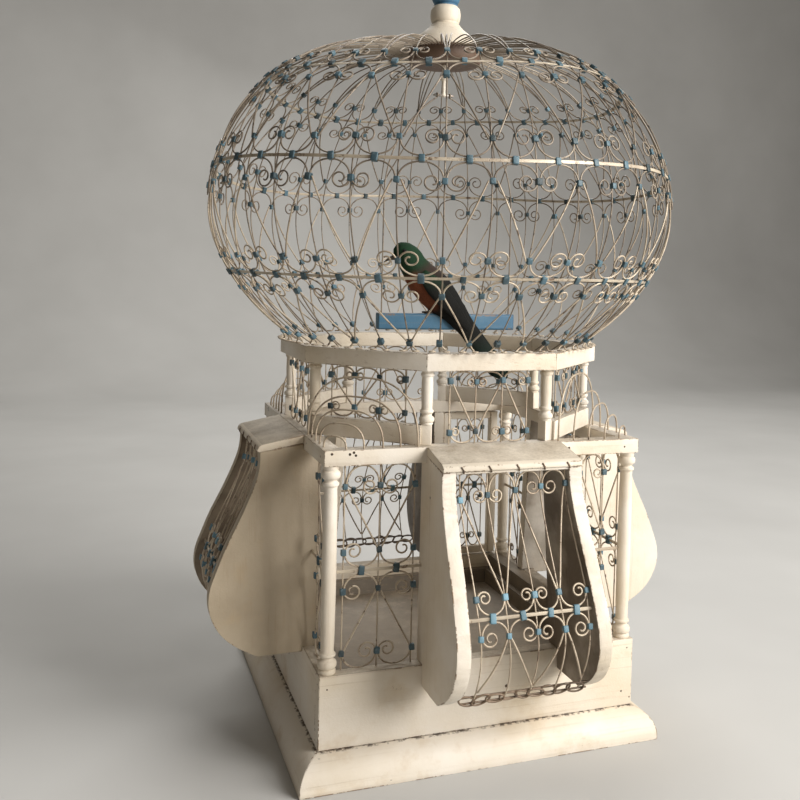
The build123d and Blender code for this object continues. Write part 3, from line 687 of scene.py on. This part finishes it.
def build_bay(side_name, turn):
    foot, bar_z = BAY_FOOT[side_name], BAY_BAR[side_name]
    stretch = (CHEEK_TOP_Z - foot) / CHEEK_FALL
    outline = [(d, CHEEK_TOP_Z - (CHEEK_TOP_Z - z) * stretch, 0) for d, z in GRILLE_FRONT]
    edge = [(p.x, p.y) for p in segments(outline, 6)]
    grille = Surface(edge, turn=turn, proud=-5.0)
    T = jitter([-41.0, -17.0, 7.0, 31.0, 53.0], 0.7)
    B = jitter([-37.0, -12.0, 12.5, 35.0, 59.5], 0.7)
    C = jitter([-24.5, 1.3, 25.0, 47.5], 0.6)
    L = jitter([-35.5, -12.0, 12.5, 36.0, 58.5], 0.7)
    M = jitter([-34.0, -8.0, 15.0, 36.0, 59.0], 0.8)
    at = grille.at
    odd = [False, True, False, True, False]
    even = [not v for v in odd]
    t_row = jitter([at(z) for z in (234.0, 237.0, 239.5, 241.0, 243.0)], 0.5)
    b_row = jitter([at(bar_z + 14)] * 5, 0.8)
    l_row = jitter([at(bar_z - 13)] * 5, 0.8)
    m_row = jitter([at(foot + 18)] * 5, 0.8)
    bar = at(bar_z)
    flat = []
    scroll_row(T, t_row, [at(254.2)] * 4, -1, even, (6.9, 1.8, 1.3), flat)
    scroll_row(B, b_row, [bar + 2.6] * 4, 1, odd, (6.4, 1.8, 1.3), flat)
    scroll_row(L, l_row, [bar - 2.6] * 4, -1, odd, (7.0, 1.9, 1.3), flat)
    braces(B, b_row, odd, T, t_row, flat)
    braces(L, l_row, odd, M, m_row, flat)
    paths = [grille.path(p) for p in flat]
    thin = []
    for t, b, l, m in zip(zip(T, t_row), zip(B, b_row), zip(L, l_row), zip(M, m_row)):
        thin += [[(t[0], at(254.6)), t], line(t, b, 14), line(b, l, 8), line(l, m, 14)]
        thin.append([m, (m[0], at(foot + 8))])
    paths += [(grille.path(p, -0.9), THIN_R) for p in thin]
    obj = wires("bay_scrolls_" + side_name, paths, 0.8 * MM, pale_wire_mat)
    settle(obj, "cage", "wire", "bay_wires_" + side_name)
    lip = Surface([(200.0, foot - 4), (207.0, foot + 16)], turn=turn, proud=-3.0)
    low, end = lip.at(foot + 7), right_edge(foot) - 2.0
    span = np.linspace(-45.0, end, 16)
    loops = [lip.path([(x, low + rise) for x in span]) for rise in (0.0, 6.0)]
    for i in range(9):
        x = -40.0 + i * (end + 36.0) / 8.6
        wide, high, tilt = rng.uniform(6.0, 8.5), rng.uniform(3.4, 5.0), rng.uniform(-2.0, 2.0)
        bend = []
        for t in np.linspace(0.4, 6.6, 18):
            bend.append((x + wide * math.cos(t), low + 2.5 + high * math.sin(t) + tilt * math.cos(t)))
        loops.append(lip.path(bend, 0.8 + 0.4 * (i % 3)))
    settle(wires("bay_foot_loops_" + side_name, loops, LOOP_R, rusty_wire_mat, 6), "cage", "wire")
    roof_edge = [(183.4, 252), (183.4, 256.6), (185.4, 257.4), (185.4, 259.5), (184.4, 261.8)]
    front = Surface(roof_edge, turn=turn)
    pegs = []
    for x in T:
        bent = ((x + 1.5, 256.2), (x + 0.3, 258.6), (x - 1.2, 261.2))
        pegs.append(front.path([(across, front.at(z)) for across, z in bent]))
    settle(wires("bay_pegs_" + side_name, pegs, PEG_R, rusty_wire_mat, 6), "cage", "wire")
    spots = []
    for cols, level in ((T, t_row), (B, b_row), (L, l_row)):
        spots += [grille.clamp(x, s, BAY_CLAMP) for x, s in zip(cols, level)]
    spots += [grille.clamp(x, bar, BAR_CLAMP) for x in C]
    settle(clamps("bay_clamps_" + side_name, spots, pale_clamp_mat), "cage", "clamp_blue")


SIDES = [("front", 0), ("right", 90), ("back", 180), ("left", 270)]


PANEL_BAR_Z = 170.0
PANEL_D = 137.0


def side_panel(name, turn, cols, levels, touches, d, curl, body, slot_nodes, ends):
    """Flat panel of scrolls above and below a middle bar."""
    panel = Surface([(d, 60), (d, 400)], turn=turn)
    at = panel.at
    n = len(cols)
    rows = {}
    for key, z in zip("TULM", levels):
        rows[key] = (jitter(cols, 0.5), jitter([at(z)] * n, 0.7))
    if n == 2:
        outer, inner = [True, False], [False, True]
    else:
        inner = [i % 2 == 1 for i in range(n)]
        outer = [not v for v in inner]
    flat = []
    for key, touch, side, plain in zip("TULM", touches, (-1, 1, -1, 1), (outer, inner, inner, outer)):
        x, s = rows[key]
        scroll_row(x, s, [at(touch)] * (n - 1), side, plain, curl, flat)
    braces(*rows["U"], inner, *rows["T"], flat)
    braces(*rows["L"], inner, *rows["M"], flat)
    paths = [panel.path(p) for p in flat]
    for x in cols:
        paths.append((panel.path(line((x, at(ends[0])), (x, at(ends[1])), 10), -1.5), THIN_R))
    obj = wires(name + "_scrolls", paths, SCROLL_R, pale_wire_mat)
    settle(obj, body, "wire", *slot_nodes)
    spots = [panel.clamp(x, s, BAY_CLAMP) for xs, ss in rows.values() for x, s in zip(xs, ss)]
    mids = [(a + b) / 2 for a, b in zip(cols, cols[1:])]
    spots += [panel.clamp(x, at(PANEL_BAR_Z), BAR_CLAMP) for x in mids]
    settle(clamps(name + "_clamps", spots), body, "clamp_blue")


def build_panels():
    levels, touches = (240.0, 186.0, 154.0, 102.0), (256.8, 173.2, 166.8, 89.2)
    claimed = ["panel_wires"]
    for side, turn in SIDES:
        if side != "back":
            side_panel(
                "panel_left_" + side, turn, [-125.0, -95.0, -65.0], levels, touches,
                PANEL_D, (8.2, 1.9, 1.3), "cage", claimed, (88.2, 257.8),
            )
            claimed = []
        side_panel(
            "panel_right_" + side, turn, [90.0, 114.0], levels, touches,
            PANEL_D, (5.6, 1.7, 1.25), "cage", [], (88.2, 257.8),
        )
    side_panel(
        "door_panel", 180, [-109.0, -93.0, -77.0], (237.0, 185.0, 155.0, 110.0),
        (247.4, 173.2, 166.8, 98.6), 139.5, (4.6, 1.5, 1.25), "door", ["door_wires"], (98.2, 247.8),
    )


def build_drum():
    paths, spots = [], []
    for k in range(8):
        wall = Surface([(PANEL_D, 260), (PANEL_D, 350)], turn=45 * k)
        at = wall.at
        low = 281.0 if k % 2 == 0 else 297.0
        end = 271.2 if k % 2 == 0 else 288.2
        cols = jitter([-36.0, -12.0, 12.0, 36.0], 0.7)
        top = jitter([at(324.5)] * 4, 0.7)
        bottom = jitter([at(low)] * 4, 0.6)
        through = [True, False, True, False]
        other = [not v for v in through]
        flat = []
        scroll_row(cols, top, [at(332.4)] * 3, -1, through, (4.6, 1.5, 1.25), flat)
        scroll_row(cols, bottom, [at(end + 1)] * 3, 1, other, (4.6, 1.5, 1.25), flat)
        braces(cols, top, through, cols, bottom, flat)
        paths += [wall.path(p) for p in flat]
        for i, x in enumerate(cols):
            upright = line((x, at(end)), (x, at(333.3)), 6)
            paths.append((wall.path(upright, -1.4), THIN_R))
            spots += [wall.clamp(x, s, BAY_CLAMP) for s in (top[i], bottom[i])]
    settle(wires("drum_scrolls", paths, SCROLL_R, pale_wire_mat), "cage", "wire", "drum_wires")
    settle(clamps("drum_clamps", spots), "cage", "clamp_blue")


def build_hoops():
    paths = []
    for foot, top in zip((65.0, 80.0, 95.0, 111.0, 126.0), (325.0, 309.0, 299.0, 290.0, 281.0)):
        for number in range(4):
            turn = axis_turn(90 * number)
            path = []
            sag = rng.uniform(-0.8, 0.8)
            for i in range(33):
                f = math.pi * i / 32
                s = 0.5 - 0.5 * math.copysign(abs(math.cos(f)) ** 0.78, math.cos(f))
                h = (top + sag - 271.0) * math.sin(f) ** 0.78
                x = -foot + s * (foot - 141.0)
                y = -141.0 + s * (141.0 - foot)
                path.append(turn @ Vector((x * MM, y * MM, (271.2 + h) * MM)))
            paths.append(path)
    settle(wires("corner_hoops_v", paths, STOUT_R, pale_wire_mat, 8), "cage", "wire", "corner_hoops")


# ---------- turned pieces
def bulb(r, z0, z1, neck, steps=8):
    out = []
    for i in range(steps + 1):
        t = i / steps
        out.append((neck + (r - neck) * math.sqrt(max(0.0, 1 - (2 * t - 1) ** 2)), z0 + (z1 - z0) * t))
    return out


def scaled(profile):
    return [(r * MM, z * MM) for r, z in profile]


def build_turned():
    post = [(7.0, 88.0), (7.3, 88.4), (7.3, 90.6), (6.6, 91.4)]
    post += bulb(7.9, 92, 99, 6.0) + [(5.2, 100), (5.2, 101)] + bulb(6.9, 101.5, 105, 5.6)
    post += [(5.4, 107), (5.7, 120), (6.0, 148), (6.1, 173), (6.0, 198), (5.7, 226), (5.4, 239)]
    post += bulb(6.9, 241, 244.5, 5.6) + [(5.2, 245), (5.2, 246)] + bulb(7.9, 247, 254, 6.0)
    post += [(6.6, 255.4), (6.7, 257.9)]
    places = [Matrix.Translation((x * PANEL_D * MM, y * PANEL_D * MM, 0)) for x in (-1, 1) for y in (-1, 1)]
    obj = lathe("corner_posts_v", scaled(post), ivory["z"], places)
    obj.data.set_sharp_from_angle(angle=0.9)
    settle(obj, "cage", "ivory_wood", "corner_posts")
    column = [(5.4, 288.4), (5.6, 289.0), (5.2, 289.8)] + bulb(6.6, 290, 295, 5.0)
    column += [(4.4, 296), (4.4, 297)] + bulb(5.8, 297.5, 301, 4.6) + [(4.6, 304), (5.0, 318), (4.8, 327.5)]
    column += bulb(5.8, 328.5, 332, 4.8) + [(5.4, 333.4)]
    places = [axis_turn(22.5 + 45 * k) @ Matrix.Translation((0, -0.1445, 0)) for k in range(8)]
    obj = lathe("drum_columns_v", scaled(column), ivory["z"], places, 28)
    vertices, faces = [], []
    for place in places:
        bm = bmesh.new()
        bmesh.ops.create_cube(bm, size=1.0)
        bmesh.ops.scale(bm, vec=(9 * MM, 9 * MM, 17.5 * MM), verts=bm.verts)
        bmesh.ops.translate(bm, vec=(0, 0, 279.8 * MM), verts=bm.verts)
        bmesh.ops.bevel(bm, geom=bm.edges[:], offset=0.7 * MM, segments=2, profile=0.6, affect="EDGES")
        start = len(vertices)
        vertices += [place @ v.co for v in bm.verts]
        faces += [tuple(start + v.index for v in f.verts) for f in bm.faces]
        bm.free()
    blocks = make_object("drum_column_feet", vertices, faces, ivory["z"])
    blocks.data.set_sharp_from_angle(angle=0.6)
    settle(blocks, "cage", "ivory_wood")
    obj.data.set_sharp_from_angle(angle=0.9)
    settle(obj, "cage", "ivory_wood", "drum_columns")

    still = [Matrix.Identity(4)]

    def stand(node, profile, mat, segments, slot="ivory_wood"):
        settle(lathe(node + "_v", scaled(profile), mat, still, segments), "cage", slot, node)

    disc = [(28.0, 619.6), (33.6, 619.7), (34.8, 620.9), (35.0, 627.0)]
    disc += [(34.8, 632.8), (34.2, 633.9), (30.0, 634.0)]
    stand("crown", disc, dark, 72)
    neck = [(34.4, 634.0), (34.5, 635.0), (33.8, 637.6), (31.6, 641.0), (28.8, 644.2), (24.4, 648.2)]
    neck += [(20.4, 651.2), (17.0, 654.2), (15.0, 656.6), (14.2, 657.9)]
    stand("finial_neck", neck, ivory["z"], 48)
    ball = [(13.0, 658.0), (13.4, 658.7), (12.6, 659.3)] + bulb(14.8, 659.4, 675, 12.2, 14) + [(11.8, 675.9)]
    stand("finial_ball", ball, ivory["z"], 48)
    bead = [(11.4, 676.0), (11.8, 677.0)] + bulb(13.8, 677.5, 693, 8.6, 16) + [(6.6, 694.4)]
    stand("finial_bead", bead, blue["z"], 48, "blue_wood")
    tip = [(5.5, 694.5), (6.6, 695.6), (7.1, 698.0), (6.9, 701.0), (5.6, 705.0), (4.0, 709.0), (2.2, 712.6)]
    tip += [(1.0, 714.1), (0.3, 714.45)]
    stand("finial_tip", tip, ivory["z"], 32)


# ---------- swing and bird
def tapered(name, stations, sides):
    """Closed body along a curve; each station is (x, y, z, width, height)."""
    p = stations[:, :3]
    radii = np.maximum(stations[:, 3:], 0.3)
    vertices, faces = [], []
    count = len(p)
    for i in range(count):
        t = p[min(i + 1, count - 1)] - p[max(i - 1, 0)]
        t /= np.linalg.norm(t)
        side = np.cross(t, (0.0, 1.0, 0.0))
        side /= np.linalg.norm(side)
        across = np.cross(side, t)
        w, h = radii[i]
        for j in range(sides):
            a = 2 * math.pi * j / sides
            vertices.append((p[i] + across * w * math.cos(a) + side * h * math.sin(a)) * MM)
    stitch(faces, 0, count, sides)
    return make_object(name, vertices, faces, feathers)


def resample(keys, steps):
    """Keys are tuples; returns smooth samples of every number in them."""
    width = len(keys[0])
    k = np.array(keys, float)
    t = np.concatenate(([0.0], np.cumsum(np.linalg.norm(np.diff(k[:, :3], axis=0), axis=1))))
    t /= t[-1]
    from_t = np.linspace(0, 1, steps)
    out = np.zeros((steps, width))
    for c in range(width):
        slope = np.gradient(k[:, c], t)
        i = np.clip(np.searchsorted(t, from_t, side="right") - 1, 0, len(t) - 2)
        h = t[i + 1] - t[i]
        u = (from_t - t[i]) / h
        out[:, c] = (
            (2 * u ** 3 - 3 * u ** 2 + 1) * k[i, c]
            + (u ** 3 - 2 * u ** 2 + u) * h * slope[i]
            + (-2 * u ** 3 + 3 * u ** 2) * k[i + 1, c]
            + (u ** 3 - u ** 2) * h * slope[i + 1]
        )
    return out


def paint(obj, shade):
    layer = obj.data.attributes.new("paint", "FLOAT_COLOR", "POINT")
    values = []
    for v in obj.data.vertices:
        values += [*shade(v.co / MM), 1.0]
    layer.data.foreach_set("color", values)


def settle_painted(obj, shade, *replaced):
    paint(obj, shade)
    settle(obj, "swing", "bird_paint", *replaced)


def blend_colors(a, b, t):
    t = min(1.0, max(0.0, t))
    t = t * t * (3 - 2 * t)
    return tuple(x + (y - x) * t for x, y in zip(a, b))


GREEN, NAPE = (0.012, 0.040, 0.018), (0.040, 0.026, 0.020)
RUST, BLACK, TAIL = (0.19, 0.060, 0.028), (0.008, 0.008, 0.007), (0.008, 0.020, 0.014)


def bird_shade(p):
    along = (p.x + 32) * 0.58 + (432 - p.z) * 0.81
    belly = -(p.x + 9) * 0.81 - (p.z - 400) * 0.58
    color = blend_colors(GREEN, NAPE, (along - 10) / 12)
    color = blend_colors(color, BLACK, (along - 24) / 16)
    rust = min(1.0, max(0.0, (belly - 2) / 6)) * min(1.0, max(0.0, (along - 12) / 8))
    return blend_colors(color, RUST, rust * (1 - min(1.0, max(0.0, (along - 50) / 12))))


def build_bird():
    # (x, y, z, width, height) from the forehead to the root of the tail
    keys = [
        (-46.5, 2, 437.5, 0.6, 0.6), (-45, 2, 437, 5.0, 5.0), (-40, 2, 436, 9.6, 9.4),
        (-33, 2, 432, 12.2, 12.4), (-26, 2, 423, 12.4, 13.4), (-18, 1, 412, 14.2, 16.2),
        (-7, -1, 401, 15.6, 18.0), (4, -4, 389, 13.6, 16.4), (14, -7, 378.5, 9.0, 12.8),
        (24, -9.5, 366, 6.4, 10.0), (30, -10.5, 358, 5.2, 8.4),
    ]
    obj = tapered("bird_body", resample(keys, 44), 32)
    for v in obj.data.vertices:
        q = v.co / MM
        ripple = 0.35 * math.sin(q.x * 1.3 + q.z * 0.9) * math.sin(q.y * 0.9 + q.z * 0.5)
        v.co += v.normal * ripple * MM
    settle_painted(obj, bird_shade, "bird")
    for i, (spread, y_lift, reach) in enumerate(((-3.4, -0.6, 0.95), (0, 0.5, 1.0), (3.4, -0.6, 0.93))):
        keys = [
            (18, -9 + spread * 0.3, 375, 3.4, 8.6), (34, -11 + spread * 0.8, 354, 3.2, 8.8),
            (50, -13.2 + spread, 334, 2.8, 8.0),
            (65 * reach + 2, -14.5 + spread, 314 + (1 - reach) * 40, 2.0, 5.6),
            (67 * reach + 2, -14.6 + spread, 311 + (1 - reach) * 40, 0.8, 2.4),
        ]
        quill = resample(keys, 20)
        quill[:, 2] += y_lift
        feather = tapered(f"bird_tail_{i}", quill, 12)
        settle_painted(feather, lambda p: blend_colors(BLACK, TAIL, (360 - p.z) / 30))
    for side in (-1, 1):
        keys = [
            (-21, side * 12.0, 416, 1.0, 4.0), (-13, side * 14.6 - 1, 406, 2.4, 8.6),
            (0, side * 14.4 - 3, 391, 2.4, 8.4),
            (14, side * 9.6 - 6, 377, 1.8, 6.4), (30, side * 5.6 - 9.5, 359, 0.8, 3.0),
        ]
        wing = tapered("bird_wing_" + "rl"[side > 0], resample(keys, 26), 16)
        settle_painted(wing, lambda p: blend_colors(BLACK, GREEN, (p.z - 395) / 25))
    keys = [(-41, 2, 431, 3.4, 3.6), (-47, 2, 429.6, 2.2, 2.4)]
    keys += [(-52, 2, 427.6, 1.2, 1.3), (-56, 2, 425.0, 0.35, 0.35)]
    settle_painted(tapered("bird_beak", resample(keys, 14), 14), lambda p: (0.05, 0.04, 0.03))
    eyes = []
    for side in (-1, 1):
        place = Matrix.Translation((-38.5 * MM, (2 + side * 10.6) * MM, 436 * MM))
        eyes.append(place @ Matrix.Rotation(-side * math.pi / 2, 4, "X"))
    profile = scaled([(1.9, -1.0), (2.1, -0.2), (1.7, 0.7), (1.0, 1.2), (0.2, 1.4)])
    settle_painted(lathe("bird_eyes", profile, feathers, eyes, 16), lambda p: (0.01, 0.01, 0.01))
    legs = []
    for side in (-1, 1):
        foot_y = side * 3.4
        shin = ((-3, foot_y - 1, 390), (-8, foot_y, 383), (-9, foot_y, 376.8))
        legs.append(segments([Vector(point) * MM for point in shin], 6))
        for toe in (-1, 0, 1):
            tip = (-9 - 6 + abs(toe), foot_y + toe * 3.0, 376.9)
            legs.append([Vector((-9 * MM, foot_y * MM, 377.2 * MM)), Vector([c * MM for c in tip])])
        legs.append([Vector((-9 * MM, foot_y * MM, 377.2 * MM)), Vector((-4 * MM, foot_y * MM, 376.9 * MM))])
    settle_painted(wires("bird_feet", legs, 0.8 * MM, feathers), lambda p: (0.05, 0.035, 0.025))


def build_swing():
    paths = []
    for sign, foot_x in ((-1, -58.0), (1, 76.0)):
        eye = []
        for i in range(19):
            a = 2 * math.pi * i / 18
            eye.append(Vector((sign * 6.5, 2.0 * math.sin(a), 590 - 2.0 * math.cos(a))) * MM)
        reach = 126.5 - abs(foot_x)
        drop = math.sqrt(120.0 ** 2 - reach ** 2)
        sweep_end = math.atan2(drop, reach)
        bow = []
        for t in np.linspace(0, sweep_end, 22):
            bow.append((foot_x - sign * 120.0 * (1 - math.cos(t)), 588.1 - drop + 120.0 * math.sin(t)))
        points = [(x, 0, z) for x, z in reversed(bow)] + [(foot_x, 0, 420), (foot_x, 0, 375)]
        paths.append(eye)
        paths.append([Vector(p) * MM for p in points])
    settle(wires("swing_wires_v", paths, HANGER_R, wire_mat, 8), "swing", "wire", "swing_wires")
    rod = [(1.9, 588.6), (2.3, 589.4), (2.4, 590.0), (2.3, 590.8), (1.9, 592.0), (1.9, 603.6)]
    rod += bulb(4.2, 604, 612, 1.9, 10) + [(1.9, 612.4), (1.9, 628.0)]
    still = [Matrix.Identity(4)]
    settle(lathe("crown_hook_v", scaled(rod), ivory["z"], still, 20), "cage", "steel", "crown_hook")
    cross = [[Vector((-10 * MM, 0, 590 * MM)), Vector((10 * MM, 0, 590 * MM))]]
    settle(wires("crown_hook_pin", cross, 1.2 * MM, steel, 12), "cage", "steel")


def build_nails():
    """Old nail heads in the boards of each side: (x, outward distance, z, upward tilt of the face)."""
    spots = [
        (-138.3, 144.5, 268.2, 0), (-120.3, 144.5, 268.8, 0), (-118.6, 144.5, 266.4, 0),
        (-123.5, 144.5, 267.5, 0), (134.4, 145.0, 40.5, 0), (143.0, 145.0, 34.0, 0),
        (-138.3, 145.0, 77.2, 0), (139.0, 145.0, 80.0, 0), (151.3, 161.0, 12.6, 18),
        (142.0, 161.4, 11.3, 16), (-144.3, 161.2, 12.0, 16), (-88.0, 162.9, 4.6, 4),
        (20.0, 145.0, 60.0, 0), (74.0, 144.5, 265.0, 0), (130.0, 144.5, 264.0, 0),
    ]
    places = []
    for side, turn in SIDES:
        for x, d, z, tilt in spots:
            size = Matrix.Scale(rng.uniform(0.7, 1.3), 4)
            over_tray_face = side == "back" and abs(x) < 120 and 45 < z < 90
            if not over_tray_face:
                spot = Matrix.Translation((x * MM, -(d - 0.05) * MM, z * MM))
                facing = Matrix.Rotation(math.radians(90 - tilt), 4, "X")
                places.append(axis_turn(turn) @ spot @ facing @ size)
    profile = scaled([(1.1, -0.3), (1.15, 0.02), (0.8, 0.12), (0.25, 0.10)])
    settle(lathe("nail_heads", profile, nail_mat, places, 12), "cage", "steel")


def inner_face(turn):
    """Tells which faces of a pair of cheeks look into the bay; these get soot and painted shade."""
    across = Vector((math.cos(math.radians(turn)), math.sin(math.radians(turn)), 0))

    def looks_inward(face):
        at = across.dot(face.calc_center_median()) - 4 * MM
        return across.dot(face.normal) * (1 if at < 0 else -1) > 0.8

    return looks_inward


EVEN = ("front", "back")
for side, turn in SIDES:
    grain = "x" if side in EVEN else "y"
    worn(["skirt_" + side], base_ivory[grain], 1.1)
    worn(["plinth_" + side], base_ivory[grain], 0.9)
    worn(["frame_" + side], ivory[grain], 0.8)
    # the left bay's cheeks take the darker ivory copy, which is painted shade
    board_paint = shaded_ivory if side == "left" else ivory["z"]
    # cheek faces that look into the bay get soot and painted shade
    worn(["bay_cheeks_" + side], board_paint, 0.9, soot_and_shade_faces=inner_face(turn))
    build_bay(side, turn)
worn(["bay_roofs"], roof_wood, 0.7)
worn(["bay_fascias"], ivory["n"], 0.5)
worn(["drum_ring_square", "drum_ring_diagonal", "drum_sills"], ivory["n"], 0.8)
worn(["bay_bars", "panel_bars"], flat_mat, 0.25)
worn(["base_floor", "tray_guides"], floor_wood, 0.5)
worn(["tray", "tray_face"], floor_wood, 0.6, "tray")
worn(["door_stiles"], ivory["z"], 0.5, "door")
worn(["door_rails"], ivory["x"], 0.4, "door")
worn(["door_button"], bare["x"], 0.4, "button")
worn(["perch"], blue["x"], 0.7, "swing")
for name in ("door_pin", "button_screw"):
    worn([name], steel, 0.2)
build_dome()
build_panels()
build_drum()
build_hoops()
build_turned()
build_swing()
build_bird()
build_nails()
for n in range(len(RINGS)):
    obj = flat_ring(n, 2.6, 1.6, flat_mat, f"dome_ring_{n}")
    settle(obj, "cage", "wire", *(["dome_rings"] if n == 1 else []))
knob = scaled([(4.4, 0.0), (4.6, 0.6), (4.4, 3.6), (3.6, 5.6)] + bulb(9.0, 7, 18, 3.6, 12))
place = Matrix.Translation((0, 0.145, 0.0638)) @ Matrix.Rotation(-math.pi / 2, 4, "X")
settle(lathe("tray_knob_v", knob, bare["y"], [place], 40), "tray", "tray_wood", "tray_knob")
knob = scaled([(2.5, 0.0), (2.6, 0.4), (2.2, 2.8)] + bulb(4.5, 3.5, 10, 2.2, 10))
place = Matrix.Translation((0.064, 0.144, 0.172)) @ Matrix.Rotation(-math.pi / 2, 4, "X")
settle(lathe("door_knob_v", knob, blue["x"], [place], 32), "door", "blue_wood", "door_knob")


# ---------- floor, light, camera
floor_mat, tree = new_material("floor")
speck = noise(tree, coords(tree), 3.0, 3.0)
tone = mix(tree, ramp(tree, speck, 0.3, 0.7), (0.52, 0.515, 0.50), (0.47, 0.465, 0.45))
finish_shader(tree, tone, 0.7, 0.05, speck, 0.05)
sweep = []
for i in range(13):
    a = math.pi / 2 * i / 12
    sweep.append((2.2 + 0.9 * math.sin(a), 0.9 - 0.9 * math.cos(a)))
profile = [(-4.0, 0.0)] + sweep + [(3.1, 4.0)]
floor_v = [(x, y, z) for x in (-5.0, 5.0) for y, z in profile]
half = len(profile)
floor_f = [(i, half + i, half + i + 1, i + 1) for i in range(half - 1)]
make_object("floor", floor_v, floor_f, floor_mat)


def lamp(name, location, target, size, power, tint):
    data = bpy.data.lights.new(name, "AREA")
    data.shape = "RECTANGLE"
    data.size, data.size_y = size
    data.energy = power
    data.color = tint
    obj = add_object(name, data)
    obj.location = location
    obj.rotation_euler = (Vector(target) - Vector(location)).to_track_quat("-Z", "Y").to_euler()


middle = (0, 0, 0.35)
lamp("key", (1.55, -1.7, 1.3), middle, (1.7, 1.6), 114, (1.0, 0.975, 0.94))
lamp("fill", (-1.8, -1.2, 0.9), middle, (1.6, 1.6), 2, (1.0, 0.86, 0.68))
lamp("top", (0.2, 0.4, 2.2), middle, (1.8, 1.8), 6, (1.0, 0.99, 0.97))
lamp("rear", (0.7, 2.1, 2.2), middle, (1.6, 1.6), 40, (1.0, 0.99, 0.96))
world = bpy.data.worlds.new("soft_room")
world.use_nodes = True
world.node_tree.nodes["Background"].inputs["Color"].default_value = (0.80, 0.72, 0.60, 1)
world.node_tree.nodes["Background"].inputs["Strength"].default_value = 0.10
bpy.context.scene.world = world

camera_data = bpy.data.cameras.new("camera")
camera_data.sensor_width = 36.0
camera_data.lens = 42.55
camera_data.shift_x = -0.0662
camera_data.shift_y = -0.1118
camera_data.clip_start = 0.01
camera = add_object("camera", camera_data)
right = Vector((0.9360294, -0.35091992, 0.02653611))
up = Vector((-0.01218363, 0.0430449, 0.99899885))
back = -Vector((0.35171084, 0.9354156, -0.03601582))
pose = Matrix((right, up, back)).transposed().to_4x4()
pose.translation = Vector((-0.31505, -0.88045, 0.41284))
camera.matrix_world = pose
bpy.context.scene.camera = camera
bpy.context.scene.view_settings.view_transform = "Standard"
